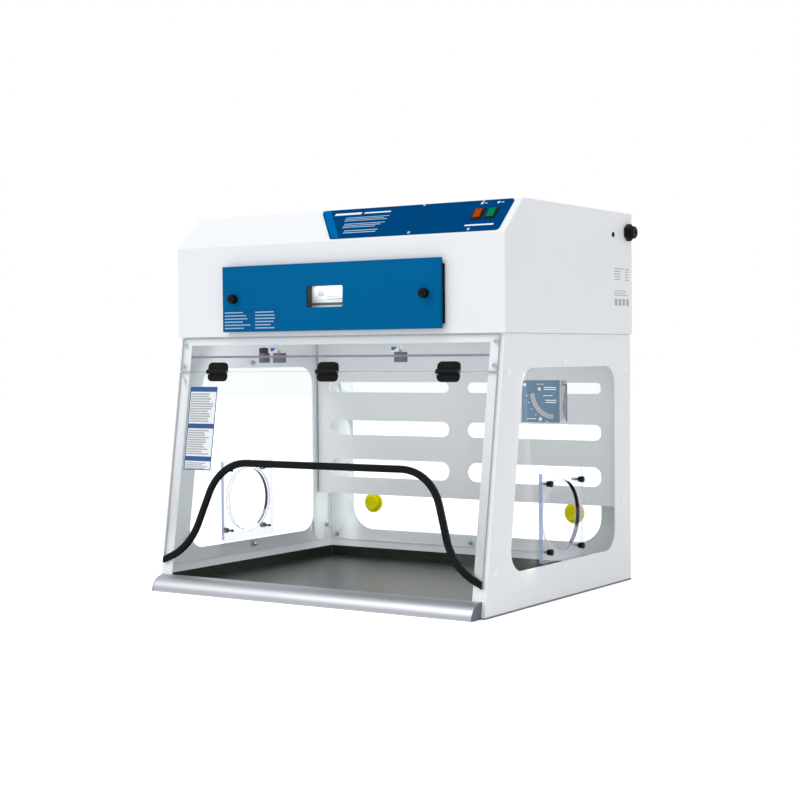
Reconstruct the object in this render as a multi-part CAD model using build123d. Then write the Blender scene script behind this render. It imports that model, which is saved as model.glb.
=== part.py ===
from build123d import *
import os
from math import atan2, cos, hypot, pi, radians, sin

# Powder weighing hood: a filter head on a base with clear walls and a hinged sash.
# Millimetres. X runs to the right, Y to the back, Z up.
# The origin lies under the middle of the base.

# Base
BASE_WIDTH = 903.0
BASE_DEPTH = 706.0
BASE_HEIGHT = 600.0
FRONT_LEAN = 92.0            # how far the front leans back over the height of the base
PAN_SHEET = 3.0
PANEL_SHEET = 3.0
POST_WIDTH = 35.0            # the side panels' front flanges, on which the sash rests
FLANGE_WIDTH = 25.0
FOLD_RADIUS = 2.5
PAN_LIP = 30.0

# Rail across the top of the front, behind the clear strip
FRONT_RAIL_DROP = 20.0
FRONT_RAIL_FLANGE = 20.0

# Clear windows
CLEAR_SHEET = 5.0
WINDOW_BOTTOM = 84.0
WINDOW_TOP_INSET = 76.0      # below the top of the base
WINDOW_FRONT = 90.0          # behind the leaning front
WINDOW_REAR = 87.0           # in front of the rear
WINDOW_RADIUS = 48.0
REAR_WINDOW_INSET = 77.5     # from the side of the base
REAR_WINDOW_RADIUS = 65.0
PANE_LAP = 30.0
PANE_SETBACK = 12.0
PANE_REAR_GAP = 20.0
PANE_GAP = 0.2

# Port plates
PORT_SIDE = 200.0
PORT_THICK = 9.0
PORT_RADIUS = 78.0
PORT_PANE_GAP = 4.0
PORT_Y = -12.0
PORT_Z = 190.0
PORT_CORNER_RADIUS = 4.0
PORT_SCREW_PITCH = 152.0
THUMB_RADIUS = 7.0
THUMB_SIDES = 12
THUMB_HEIGHT = 9.0
THUMB_NECK_RADIUS = 4.5
THUMB_NECK = 3.5
THUMB_SHANK_RADIUS = 3.0
THUMB_REACH = 4.0
THUMB_GAP = 0.1

# Plugs in the rear window
PLUG_INSET = 71.0            # from the side of the rear window
PLUG_Z = 157.0
PLUG_HOLE_RADIUS = 23.5
PLUG_RIM_RADIUS = 26.5
PLUG_RIM_THICK = 4.0
PLUG_HUB_RADIUS = 19.0
PLUG_HUB_THICK = 9.0
PLUG_GAP = 0.1

# Baffle
BAFFLE_Y = 285.0
BAFFLE_SHEET = 2.0
BAFFLE_BOTTOM = 184.0
BAFFLE_TOP_GAP = 10.0        # below the top of the base
BAFFLE_FLANGE = 27.0
SLOT_INNER = 28.0
SLOT_INSET = 45.5            # from the side of the base
SLOT_TOP_DROP = 131.0        # middle of the top row, below the top of the base
SLOT_PITCH = 108.0
SLOT_HEIGHTS = [27.0, 38.0, 48.0]

# Work tray
TRAY_SHEET = 3.0
TRAY_HEIGHT = 28.0
TRAY_GAP = 1.0
TRAY_RADIUS = 6.0

# Sill
SILL_DEPTH = 37.0
SILL_HEIGHT = 36.0
SILL_WALL = 2.5
SILL_CAP = 2.5

# Sash
SASH_SHEET = 6.0
SASH_INSET = 10.5            # from the side of the base
STRIP_TOP = 4.0              # down the slope from the top of the base
HINGE_DROP = 85.0
SASH_SPLIT = 2.4             # slit between the fixed strip and the sash
ARCH_TOP = 304.0
ARCH_TOP_INSET = 150.5       # from the side of the sash
ARCH_FOOT = 510.0
ARCH_FOOT_INSET = 80.0
ARCH_END = 541.5
ARCH_TOP_RADIUS = 105.0
ARCH_FOOT_RADIUS = 145.0
TRIM_LAP = 13.0
TRIM_EDGE = 3.5
TRIM_WALL = 2.6
TRIM_CHAMFER = 2.0
TRIM_POST_GAP = 1.0

# Sash hinges
HINGE_PITCH = 322.0
HINGE_WIDTH = 58.0
HINGE_REACH = 22.5
LEAF_THICK = 4.0
LEAF_RADIUS = 12.0
KNUCKLE_RADIUS = 5.5
KNUCKLE_GAP = 0.5
HINGE_PIN_RADIUS = 2.0
HINGE_RUNNING_GAP = 0.05

# Head
HEAD_OVERHANG = 5.5          # past the side of the base
HEAD_DEPTH = 621.0
HEAD_HEIGHT = 292.0
HEAD_SHEET = 2.0
HEAD_RADIUS = 3.5
FACE_HEIGHT = 215.0          # upright part of the front
SLANT_RUN = 81.0
FLOOR_FLANGE = 20.0

# Filters
FILTER_WIDTH = 540.0
FILTER_DEPTH = 500.0
FILTER_HEIGHT = 114.0
FILTER_FRAME = 12.0
FILTER_SETBACK = 12.0
FILTER_SEAL = 8.0
SEAL_WIDTH = 16.0
PLEAT_PITCH = 30.0
PLEAT_THICK = 4.0
PLEAT_INSET = 8.0
RAIL_HEIGHT = 32.0
RAIL_SHEET = 2.0
RAIL_FOOT = 20.0
RAIL_LEDGE = 12.0
RAIL_GUIDE = 15.0
RAIL_GAP = 1.0
PREFILTER_WIDTH = 500.0
PREFILTER_DEPTH = 380.0
PREFILTER_Y = 40.0
PREFILTER_THICK = 12.0
PREFILTER_GAP = 1.0
GRID_SHEET = 3.0
GRID_BORDER = 20.0
GRID_COLUMNS = 10
GRID_ROWS = 3
GRID_BAR = 8.0

# Fan
INLET_RADIUS = 75.0
INLET_RING = 12.0
INLET_WALL = 2.0
FAN_RADIUS = 105.0
FAN_EYE_RADIUS = 62.0
FAN_DISC = 2.0
BLADE_HEIGHT = 45.0
BLADE_THICK = 2.0
BLADE_COUNT = 7
BLADE_SWEEP = 38.0
FAN_LIFT = 2.0
FAN_HUB_RADIUS = 14.0
SHAFT_RADIUS = 6.0
SHAFT_GAP = 0.05
MOTOR_RADIUS = 48.0
MOTOR_HEIGHT = 36.0
MOTOR_GAP = 4.0
BRACKET_HALF = 128.0
BRACKET_WIDTH = 60.0
BRACKET_SHEET = 3.0
BRACKET_FOOT = 20.0
FAN_Y = 40.0
EXHAUST_WIDTH = 360.0
EXHAUST_DEPTH = 200.0
EXHAUST_RADIUS = 12.0
GRILLE_SHEET = 2.0
GRILLE_LAP = 15.0
GRILLE_COLUMNS = 15
GRILLE_ROWS = 2
GRILLE_BAR = 9.0

# Filter door
DOOR_WIDTH = 606.0
DOOR_HEIGHT = 154.0
DOOR_BOTTOM = 11.0           # above the underside of the head
DOOR_DEPTH = 17.0
DOOR_SHEET = 2.0
DOOR_RADIUS = 2.0
GASKET_THICK = 6.0
GASKET_OVERHANG = 3.0
GASKET_INSET = 10.5
GASKET_WIDTH = 20.0
HATCH_WIDTH = 560.0
HATCH_HEIGHT = 118.0
HATCH_BOTTOM = 32.0
DOOR_WINDOW_WIDTH = 102.0
DOOR_WINDOW_HEIGHT = 49.0
DOOR_WINDOW_X = -6.0
DOOR_WINDOW_Z = 88.5
DOOR_WINDOW_RADIUS = 4.0
DOOR_PANE_SHEET = 3.0
DOOR_PANE_LAP = 10.0

# Quarter-turn knobs
KNOB_X = 266.0
KNOB_Z = 88.0
KNOB_RADIUS = 12.0
KNOB_HEIGHT = 15.0
KNOB_COLLAR = 3.0
KNOB_COLLAR_RADIUS = 9.0
KNOB_FLUTES = 10
FLUTE_DEPTH = 1.4
SPINDLE_RADIUS = 6.0
SPINDLE_GAP = 0.05
CAM_REACH = 24.0
CAM_THICK = 3.0
CAM_WIDTH = 11.0
CAM_GAP = 0.5

# Control panel and rocker switches
CONTROL_INSET = 19.0         # from the side of the head
CONTROL_LEFT_TOP = -78.0
CONTROL_LEFT_BOTTOM = -2.0
CONTROL_MARGIN = 4.0
CONTROL_SHEET = 2.0
CONTROL_RADIUS = 8.0
SWITCH_INSETS = [73.0, 39.0] # from the right end of the panel
SWITCH_UP = 60.0
BEZEL_WIDTH = 27.0
BEZEL_LENGTH = 36.0
BEZEL_THICK = 2.0
SWITCH_WIDTH = 22.0
SWITCH_LENGTH = 30.0
SWITCH_DEPTH = 24.0
SWITCH_GAP = 0.1
WELL_DEPTH = 14.0
ROCKER_WIDTH = 16.4
ROCKER_LENGTH = 24.0
ROCKER_GAP = 0.4
ROCKER_RISE = 2.6
ROCKER_DISH = 1.2
ROCKER_ROOT = 5.0
ROCKER_TILT = 7.0
AXLE_RADIUS = 1.5
AXLE_REACH = 1.2
AXLE_GAP = 0.05

# Power gland and hole plug on the right of the head
GLAND_BACK = 27.0            # in front of the rear
GLAND_Z = 245.0
GLAND_FLATS = 36.0
GLAND_HEX = 12.0
GLAND_CAP_RADIUS = 15.0
GLAND_CAP = 10.0
GLAND_BORE_RADIUS = 4.5
GLAND_SHANK_RADIUS = 10.0
GLAND_SHANK = 12.0
GLAND_GAP = 0.1
SIDE_PLUG_BACK = 105.0
SIDE_PLUG_Z = 236.0
SIDE_PLUG_RADIUS = 6.0
SIDE_PLUG_HEAD = 1.5
SIDE_PLUG_SHANK_RADIUS = 4.0

# Airflow gauge
GAUGE_WIDTH = 97.0
GAUGE_HEIGHT = 96.0
GAUGE_DEPTH = 38.0
GAUGE_Y = -3.0
GAUGE_DROP = 106.0           # below the top of the base
GAUGE_WALL = 3.0
GAUGE_FACE = 2.0
GAUGE_PIVOT_IN = 15.0
GAUGE_PIVOT_DOWN = 28.0
GAUGE_POCKET_RADIUS = 62.0
GAUGE_SCALE_RADIUS = 55.0
GAUGE_SCALE_WIDTH = 12.0
GAUGE_INLET_WIDTH = 8.0
GAUGE_INLET_BACK = 9.0
VANE_LENGTH = 58.0
VANE_THICK = 1.0
VANE_EYE_RADIUS = 2.6
GAUGE_PIN_RADIUS = 1.2
VANE_GAP = 0.05
VANE_SIDE_GAP = 1.0
BUBBLE_RADIUS = 3.0
BUBBLE_LENGTH = 22.0
BUBBLE_X = 47.0
BUBBLE_DOWN = 9.0

# Clear strip across the top of the chamber, its clamps and hangers
DEFLECTOR_DROP = 45.0        # below the top of the base
DEFLECTOR_THICK = 5.0
DEFLECTOR_DEPTH = 30.0
CLAMP_X = [-213.0, -168.0, 172.0]
CLAMP_WIDTHS = [14.0, 21.0, 21.0]
CLAMP_JAW = 12.0
CLAMP_ROOF = 6.0
CLAMP_DEPTH = 24.0
CLAMP_BACK = 5.0
CLAMP_RADIUS = 3.0
HANGER_X = CLAMP_X[1:]
HANGER_WIDTH = 16.0
HANGER_SHEET = 3.0
HANGER_FOOT = 18.0
HANGER_BACK = 14.0           # behind the front edge of the strip

# Places worked out from the sizes above
FRONT_Y = -BASE_DEPTH / 2
REAR_Y = BASE_DEPTH / 2
SIDE_X = BASE_WIDTH / 2
WALL_X = SIDE_X - PANEL_SHEET
PANE_X = WALL_X - CLEAR_SHEET
LEAN = atan2(FRONT_LEAN, BASE_HEIGHT)
REAR_WALL_Y = REAR_Y - PANEL_SHEET
REAR_PANEL_Y = REAR_WALL_Y - PANEL_SHEET
REAR_PANE_Y = REAR_PANEL_Y - CLEAR_SHEET
FLANGE_TOP = PAN_SHEET + PANEL_SHEET
WINDOW_TOP = BASE_HEIGHT - WINDOW_TOP_INSET
REAR_WINDOW_HALF = SIDE_X - REAR_WINDOW_INSET
PLUG_X = REAR_WINDOW_HALF - PLUG_INSET
BAFFLE_TOP = BASE_HEIGHT - BAFFLE_TOP_GAP
SLOT_OUTER = SIDE_X - SLOT_INSET
SLOT_TOP_Z = BASE_HEIGHT - SLOT_TOP_DROP
SASH_HALF = SIDE_X - SASH_INSET
ARCH_TOP_HALF = SASH_HALF - ARCH_TOP_INSET
ARCH_FOOT_HALF = SASH_HALF - ARCH_FOOT_INSET

HEAD_X = SIDE_X + HEAD_OVERHANG
CONTROL_RIGHT = HEAD_X - CONTROL_INSET
SWITCH_X = [CONTROL_RIGHT - inset for inset in SWITCH_INSETS]
HEAD_REAR = REAR_Y
HEAD_FRONT = REAR_Y - HEAD_DEPTH
HEAD_TOP = BASE_HEIGHT + HEAD_HEIGHT
BEND_Z = BASE_HEIGHT + FACE_HEIGHT
HEAD_IN_X = HEAD_X - HEAD_SHEET
HEAD_IN_FRONT = HEAD_FRONT + HEAD_SHEET
HEAD_IN_REAR = HEAD_REAR - HEAD_SHEET
FLOOR_TOP = BASE_HEIGHT + HEAD_SHEET
FILTER_BOTTOM = FLOOR_TOP + RAIL_HEIGHT
FILTER_TOP = FILTER_BOTTOM + FILTER_HEIGHT
FILTER_FRONT = HEAD_IN_FRONT + FILTER_SETBACK
DECK_BOTTOM = FILTER_TOP + FILTER_SEAL
DECK_TOP = DECK_BOTTOM + HEAD_SHEET
FAN_BOTTOM = DECK_TOP + INLET_RING + FAN_LIFT
FAN_TOP = FAN_BOTTOM + BLADE_HEIGHT + 2 * FAN_DISC
MOTOR_BOTTOM = FAN_TOP + MOTOR_GAP
MOTOR_TOP = MOTOR_BOTTOM + MOTOR_HEIGHT

SLANT_RISE = HEAD_HEIGHT - FACE_HEIGHT
SLANT_LENGTH = hypot(SLANT_RUN, SLANT_RISE)
SASH_PLANE = Plane(
    origin=(0, FRONT_Y + FRONT_LEAN, BASE_HEIGHT),
    x_dir=(1, 0, 0),
    z_dir=(0, -cos(LEAN), sin(LEAN)),
)
CONTROL_PLANE = Plane(
    origin=(0, HEAD_FRONT, BEND_Z),
    x_dir=(1, 0, 0),
    z_dir=(0, -SLANT_RISE, SLANT_RUN),
)


# Plain shapes

def block(x0, x1, y0, y1, z0, z1):
    """A block between two corners."""
    centre = Pos((x0 + x1) / 2, (y0 + y1) / 2, (z0 + z1) / 2)
    return centre * Box(x1 - x0, y1 - y0, z1 - z0)


def rod_x(x0, x1, y, z, radius):
    """A round bar along X."""
    return Pos((x0 + x1) / 2, y, z) * Rot(0, 90, 0) * Cylinder(radius, x1 - x0)


def rod_y(x, y0, y1, z, radius):
    """A round bar along Y."""
    return Pos(x, (y0 + y1) / 2, z) * Rot(90, 0, 0) * Cylinder(radius, y1 - y0)


def rod_z(x, y, z0, z1, radius):
    """A round bar along Z."""
    return Pos(x, y, (z0 + z1) / 2) * Cylinder(radius, z1 - z0)


def outline(points):
    """A flat outline through points."""
    return make_face(Polyline(*points, close=True))


def rounded(points, radius):
    """A flat outline with all its corners rounded alike."""
    return fillet(outline(points).vertices(), radius)


def rectangle(x0, x1, y0, y1):
    """A flat rectangle between two corners."""
    return Pos((x0 + x1) / 2, (y0 + y1) / 2) * Rectangle(x1 - x0, y1 - y0)


def soft_rectangle(x0, x1, y0, y1, radius):
    """A flat rectangle with rounded corners."""
    return Pos((x0 + x1) / 2, (y0 + y1) / 2) * RectangleRounded(x1 - x0, y1 - y0, radius)


def side_slab(profile, x0, x1):
    """Push a (y, z) profile along X."""
    return extrude(Plane.YZ.offset(x0) * profile, amount=x1 - x0)


def front_slab(profile, y0, y1):
    """Push an (x, z) profile along Y."""
    return extrude(Plane.XZ.offset(-y1) * profile, amount=y1 - y0)


def flat_slab(profile, z0, z1):
    """Push an (x, y) profile along Z."""
    return extrude(Plane.XY.offset(z0) * profile, amount=z1 - z0)


def plane_slab(plane, profile, w0, w1):
    """Push a profile along the normal of a leaning plane."""
    return extrude(plane.offset(w0) * profile, amount=w1 - w0)


def mirrored(shape):
    """The same shape on the other side of the hood."""
    return mirror(shape, about=Plane.YZ)


def front_y(z):
    """The leaning front of the base at a height."""
    return FRONT_Y + FRONT_LEAN * z / BASE_HEIGHT


def lean_back(depth):
    """Level distance behind the leaning front for a depth square to it."""
    return depth / cos(LEAN)


def save(name, *solids):
    """Write one sub-part."""
    shape = solids[0] if len(solids) == 1 else Compound(children=list(solids))
    export_step(shape, "parts/" + name + ".step")


# Base

def panel_points(inset):
    """Outline of a side panel, drawn in by an even margin."""
    low = PAN_SHEET + inset
    high = BASE_HEIGHT - inset
    return [
        (front_y(low) + lean_back(inset), low),
        (REAR_Y - inset, low),
        (REAR_Y - inset, high),
        (front_y(high) + lean_back(inset), high),
    ]


def window_points(grow=0.0):
    """Outline of a side window."""
    low = WINDOW_BOTTOM - grow
    high = WINDOW_TOP + grow
    return [
        (front_y(low) + WINDOW_FRONT - grow, low),
        (REAR_Y - WINDOW_REAR + grow, low),
        (REAR_Y - WINDOW_REAR + grow, high),
        (front_y(high) + WINDOW_FRONT - grow, high),
    ]


def make_base_pan():
    """Flat pan under the whole base, with a lip behind the sill."""
    floor = outline([
        (FRONT_Y, 0),
        (front_y(PAN_SHEET), PAN_SHEET),
        (REAR_Y, PAN_SHEET),
        (REAR_Y, 0),
    ])
    pan = side_slab(floor, -SIDE_X, SIDE_X)
    lip_half = SIDE_X - POST_WIDTH - TRAY_GAP
    top = PAN_SHEET + PAN_LIP
    back = lean_back(PAN_SHEET)
    lip = outline([
        (front_y(PAN_SHEET), PAN_SHEET),
        (front_y(PAN_SHEET) + back, PAN_SHEET),
        (front_y(top) + back, top),
        (front_y(top), top),
    ])
    return pan + side_slab(lip, -lip_half, lip_half)


def make_side_panel():
    """Right side panel: one sheet folded in on all four edges, with a window."""
    inner_x = SIDE_X - POST_WIDTH
    panel = side_slab(outline(panel_points(0)), inner_x, SIDE_X)
    panel = fillet(panel.faces().sort_by(Axis.X)[-1].edges(), FOLD_RADIUS)
    panel -= side_slab(outline(panel_points(PANEL_SHEET)), inner_x - 1, WALL_X)
    behind = lean_back(PANEL_SHEET)
    over = BASE_HEIGHT + FLANGE_WIDTH
    under = -FLANGE_WIDTH
    beyond = REAR_Y + FLANGE_WIDTH
    post_back = outline([
        (front_y(under) + behind, under),
        (beyond, under),
        (beyond, over),
        (front_y(over) + behind, over),
    ])
    panel -= side_slab(post_back, inner_x - 1, SIDE_X - FLANGE_WIDTH)
    panel -= side_slab(rounded(window_points(), WINDOW_RADIUS), inner_x, SIDE_X + 1)
    return panel


def make_front_rail():
    """Folded rail between the side panels, at the top of the front."""
    half = SIDE_X - POST_WIDTH
    face = rectangle(-half, half, -FRONT_RAIL_DROP, 0)
    rail = plane_slab(SASH_PLANE, face, -PANEL_SHEET, 0)
    front = front_y(BASE_HEIGHT)
    low = BASE_HEIGHT - PANEL_SHEET
    flange = outline([
        (front_y(low), low),
        (front, BASE_HEIGHT),
        (front + FRONT_RAIL_FLANGE, BASE_HEIGHT),
        (front + FRONT_RAIL_FLANGE, low),
    ])
    return rail + side_slab(flange, -half, half)


def make_side_window(with_inlet):
    """Right side window: a clear sheet behind the panel, with a port."""
    low = WINDOW_BOTTOM - PANE_LAP
    high = WINDOW_TOP + PANE_LAP
    rear = REAR_Y - PANE_REAR_GAP
    pane = side_slab(outline([
        (front_y(low) + PANE_SETBACK, low),
        (rear, low),
        (rear, high),
        (front_y(high) + PANE_SETBACK, high),
    ]), PANE_X, WALL_X)
    pane -= rod_x(PANE_X - 1, WALL_X + 1, PORT_Y, PORT_Z, PORT_RADIUS + PORT_PANE_GAP)
    for y, z in port_screw_places():
        pane -= rod_x(PANE_X - 1, WALL_X + 1, y, z, THUMB_SHANK_RADIUS + THUMB_GAP)
    if with_inlet:
        pane -= inlet_cutter(PANE_X - 1, WALL_X + 1)
    return pane


def make_rear_panel():
    """Rear panel with a window, between the side panels' rear flanges."""
    low = FLANGE_TOP
    high = BASE_HEIGHT - PANEL_SHEET
    panel = front_slab(rectangle(-WALL_X, WALL_X, low, high), REAR_PANEL_Y, REAR_WALL_Y)
    half = REAR_WINDOW_HALF
    opening = soft_rectangle(-half, half, WINDOW_BOTTOM, WINDOW_TOP, REAR_WINDOW_RADIUS)
    panel -= front_slab(opening, REAR_PANEL_Y - 1, REAR_WALL_Y + 1)
    return panel


def make_rear_window():
    """Clear sheet in front of the rear panel, with two plug holes."""
    half = WALL_X - PANE_GAP
    low = WINDOW_BOTTOM - PANE_LAP
    high = WINDOW_TOP + PANE_LAP
    pane = front_slab(rectangle(-half, half, low, high), REAR_PANE_Y, REAR_PANEL_Y)
    for side in (-1, 1):
        pane -= rod_y(side * PLUG_X, REAR_PANE_Y - 1, REAR_PANEL_Y + 1, PLUG_Z, PLUG_HOLE_RADIUS)
    return pane


def make_rear_plug():
    """Stepped plug for one rear port: hub and rim inside, a snap rim behind."""
    front = REAR_PANE_Y - PLUG_RIM_THICK
    barrel = PLUG_HOLE_RADIUS - PLUG_GAP
    plug = rod_y(PLUG_X, front - PLUG_HUB_THICK, front, PLUG_Z, PLUG_HUB_RADIUS)
    plug = chamfer(plug.edges().sort_by(Axis.Y)[0], PLUG_RIM_THICK / 3)
    plug += rod_y(PLUG_X, front, REAR_PANE_Y, PLUG_Z, PLUG_RIM_RADIUS)
    plug += rod_y(PLUG_X, REAR_PANE_Y, REAR_WALL_Y, PLUG_Z, barrel)
    hollow = barrel - PLUG_RIM_THICK
    plug -= rod_y(PLUG_X, REAR_PANE_Y - 1, REAR_WALL_Y + 1, PLUG_Z, hollow)
    return plug


def make_baffle():
    """Slotted sheet in front of the rear wall, with side flanges folded back."""
    sheet = front_slab(
        rectangle(-PANE_X, PANE_X, BAFFLE_BOTTOM, BAFFLE_TOP), BAFFLE_Y, BAFFLE_Y + BAFFLE_SHEET
    )
    middle = (SLOT_INNER + SLOT_OUTER) / 2
    length = SLOT_OUTER - SLOT_INNER
    for row, height in enumerate(SLOT_HEIGHTS):
        z = SLOT_TOP_Z - row * SLOT_PITCH
        for side in (-1, 1):
            slot = Pos(side * middle, z) * SlotOverall(length, height)
            sheet -= front_slab(slot, BAFFLE_Y - 1, BAFFLE_Y + BAFFLE_SHEET + 1)
    for side in (-1, 1):
        outer = side * PANE_X
        inner = side * (PANE_X - BAFFLE_SHEET)
        sheet += block(
            min(outer, inner), max(outer, inner),
            BAFFLE_Y, BAFFLE_Y + BAFFLE_FLANGE, BAFFLE_BOTTOM, BAFFLE_TOP,
        )
    return sheet


def make_work_tray():
    """Dark spill tray with raised edges, on the panels' lower flanges."""
    half = WALL_X - TRAY_GAP
    top = FLANGE_TOP + TRAY_HEIGHT
    front = front_y(top) + lean_back(PANEL_SHEET) + TRAY_GAP
    rear = REAR_PANEL_Y - TRAY_GAP
    tray = flat_slab(soft_rectangle(-half, half, front, rear, TRAY_RADIUS), FLANGE_TOP, top)
    inner = TRAY_SHEET
    hollow = soft_rectangle(
        -half + inner, half - inner, front + inner, rear - inner, TRAY_RADIUS - inner / 2
    )
    return tray - flat_slab(hollow, FLANGE_TOP + TRAY_SHEET, top + 1)


def sill_profile(inset):
    """Quarter-round section of the sill against the leaning front, as (y, z)."""
    top = SILL_HEIGHT - inset
    nose = FRONT_Y - SILL_DEPTH + inset
    low = inset
    back_low = front_y(low) - lean_back(inset)
    back_high = front_y(top) - lean_back(inset)
    curve = EllipticalCenterArc(
        (back_high, low), back_high - nose, top - low, start_angle=90, arc_size=90
    )
    rest = Polyline((nose, low), (back_low, low), (back_high, top))
    return make_face(Curve() + [curve, rest])


def make_sill():
    """Hollow aluminium profile across the front."""
    half = SASH_HALF - SILL_CAP
    solid = side_slab(sill_profile(0), -half, half)
    return solid - side_slab(sill_profile(SILL_WALL), -half - 1, half + 1)


def make_sill_cap():
    """Right end cap of the sill."""
    return side_slab(sill_profile(0), SASH_HALF - SILL_CAP, SASH_HALF)


# Port plates

def port_screw_places():
    """Thumb screws of one port plate, as (y, z)."""
    half = PORT_SCREW_PITCH / 2
    return [(PORT_Y + a * half, PORT_Z + b * half) for a in (-1, 1) for b in (-1, 1)]


def make_port_plate():
    """Right port plate: a thick clear square with a round port."""
    half = PORT_SIDE / 2
    face = soft_rectangle(
        PORT_Y - half, PORT_Y + half, PORT_Z - half, PORT_Z + half, PORT_CORNER_RADIUS
    )
    plate = side_slab(face, WALL_X, WALL_X + PORT_THICK)
    plate -= rod_x(WALL_X - 1, WALL_X + PORT_THICK + 1, PORT_Y, PORT_Z, PORT_RADIUS)
    for y, z in port_screw_places():
        hole = THUMB_SHANK_RADIUS + THUMB_GAP
        plate -= rod_x(WALL_X - 1, WALL_X + PORT_THICK + 1, y, z, hole)
    return plate


def thumb_screw():
    """A thumb screw: neck and head above z = 0, shank below."""
    length = PORT_THICK + CLEAR_SHEET + THUMB_REACH
    grip = Plane.XY.offset(THUMB_NECK) * RegularPolygon(THUMB_RADIUS, THUMB_SIDES)
    head = extrude(grip, amount=THUMB_HEIGHT)
    head += Pos(0, 0, THUMB_NECK / 2) * Cylinder(THUMB_NECK_RADIUS, THUMB_NECK)
    return head + Pos(0, 0, -length / 2) * Cylinder(THUMB_SHANK_RADIUS, length)


def make_thumb_screws():
    """Eight thumb screws, four on each port plate."""
    screws = []
    for side in (-1, 1):
        for y, z in port_screw_places():
            place = Pos(side * (WALL_X + PORT_THICK), y, z)
            screws.append(place * Rot(0, 90 * side, 0) * thumb_screw())
    return screws


# Sash

def arch_curve():
    """Lower edge of the sash, drawn in the sash plane from left to right."""
    end_half = SASH_HALF
    right = [
        (ARCH_TOP_HALF, -ARCH_TOP),
        (ARCH_FOOT_HALF, -ARCH_FOOT),
        (end_half, -ARCH_END),
    ]
    left = [(-x, up) for x, up in reversed(right)]
    radii = [ARCH_FOOT_RADIUS, ARCH_TOP_RADIUS, ARCH_TOP_RADIUS, ARCH_FOOT_RADIUS]
    return FilletPolyline(*left, *right, radius=radii)


def make_sash_strip():
    """Fixed clear strip above the sash."""
    half = SASH_HALF
    low = -(HINGE_DROP - SASH_SPLIT / 2)
    return plane_slab(SASH_PLANE, rectangle(-half, half, low, -STRIP_TOP), 0, SASH_SHEET)


def make_sash():
    """Clear sash with an arched cut-out for the arms."""
    half = SASH_HALF
    top = -(HINGE_DROP + SASH_SPLIT / 2)
    frame = Polyline((half, -ARCH_END), (half, top), (-half, top), (-half, -ARCH_END))
    face = make_face(Curve() + [arch_curve(), frame])
    return plane_slab(SASH_PLANE, face, 0, SASH_SHEET)


def make_sash_trim():
    """Rubber channel along the arch, swept as one section."""
    path = SASH_PLANE.offset(SASH_SHEET / 2) * arch_curve()
    inner = SASH_SHEET / 2
    outer = inner + TRIM_WALL
    lip = TRIM_WALL / 2
    section = outline([
        (-inner, 0),
        (-inner, -TRIM_LAP),
        (-outer + lip, -TRIM_LAP),
        (-outer, -TRIM_LAP + lip),
        (-outer, TRIM_EDGE - TRIM_CHAMFER),
        (-outer + TRIM_CHAMFER, TRIM_EDGE),
        (outer - TRIM_CHAMFER, TRIM_EDGE),
        (outer, TRIM_EDGE - TRIM_CHAMFER),
        (outer, -TRIM_LAP + lip),
        (outer - lip, -TRIM_LAP),
        (inner, -TRIM_LAP),
        (inner, 0),
    ])
    start = Plane(origin=path @ 0, x_dir=SASH_PLANE.z_dir, z_dir=path % 0)
    trim = sweep(start * section, path=path)
    half = SASH_HALF
    post = SIDE_X - POST_WIDTH - TRIM_POST_GAP
    reach = BASE_HEIGHT
    thick = 2 * SASH_SHEET
    for side in (-1, 1):
        beyond = rectangle(min(side * half, side * reach), max(side * half, side * reach), -reach, 0)
        behind = rectangle(min(side * post, side * reach), max(side * post, side * reach), -reach, 0)
        trim -= plane_slab(SASH_PLANE, beyond, -thick, thick)
        trim -= plane_slab(SASH_PLANE, behind, -thick, 0)
    return trim


# Sash hinges, drawn in the sash plane about the pin at (0, -HINGE_DROP)

HINGE_AXIS_OUT = SASH_SHEET + KNUCKLE_RADIUS + KNUCKLE_GAP
KNUCKLE_HALF = HINGE_WIDTH / 4


def knuckle(x0, x1, gap):
    """One knuckle of a hinge, bored for the pin."""
    tube = rod_x(x0, x1, 0, 0, KNUCKLE_RADIUS)
    return tube - rod_x(x0 - 1, x1 + 1, 0, 0, HINGE_PIN_RADIUS + gap)


def leaf_plate(x0, x1, up0, up1):
    """A flat piece of a leaf, measured from the pin."""
    low = SASH_SHEET - HINGE_AXIS_OUT
    return block(x0, x1, up0, up1, low, low + LEAF_THICK)


def make_hinge_leaf(upper):
    """A leaf with a rounded end and its knuckles, about the pin at the origin."""
    half = HINGE_WIDTH / 2
    clear = KNUCKLE_RADIUS + KNUCKLE_GAP
    low = SASH_SHEET - HINGE_AXIS_OUT
    shape = soft_rectangle(-half, half, -HINGE_REACH, HINGE_REACH, LEAF_RADIUS)
    leaf = extrude(Plane.XY.offset(low) * shape, amount=LEAF_THICK)
    if upper:
        leaf -= leaf_plate(-half - 1, half + 1, -HINGE_REACH - 1, 0)
        leaf -= leaf_plate(-KNUCKLE_HALF, KNUCKLE_HALF, -1, clear)
        spans = [(-half, -KNUCKLE_HALF), (KNUCKLE_HALF, half)]
        gap = HINGE_RUNNING_GAP / 2
    else:
        inner = KNUCKLE_HALF - KNUCKLE_GAP
        leaf -= leaf_plate(-half - 1, half + 1, 0, HINGE_REACH + 1)
        leaf -= leaf_plate(-half - 1, -inner, -clear, 1)
        leaf -= leaf_plate(inner, half + 1, -clear, 1)
        spans = [(-inner, inner)]
        gap = HINGE_RUNNING_GAP
    bore = rod_x(-half - 1, half + 1, 0, 0, HINGE_PIN_RADIUS + gap)
    for x0, x1 in spans:
        leaf += knuckle(x0, x1, gap)
    return leaf - bore


def place_hinges(shape):
    """Three copies of a hinge piece along the sash."""
    places = []
    for step in (-1, 0, 1):
        spot = Pos(step * HINGE_PITCH, -HINGE_DROP, HINGE_AXIS_OUT)
        places.append(SASH_PLANE * spot * shape)
    return places


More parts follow.
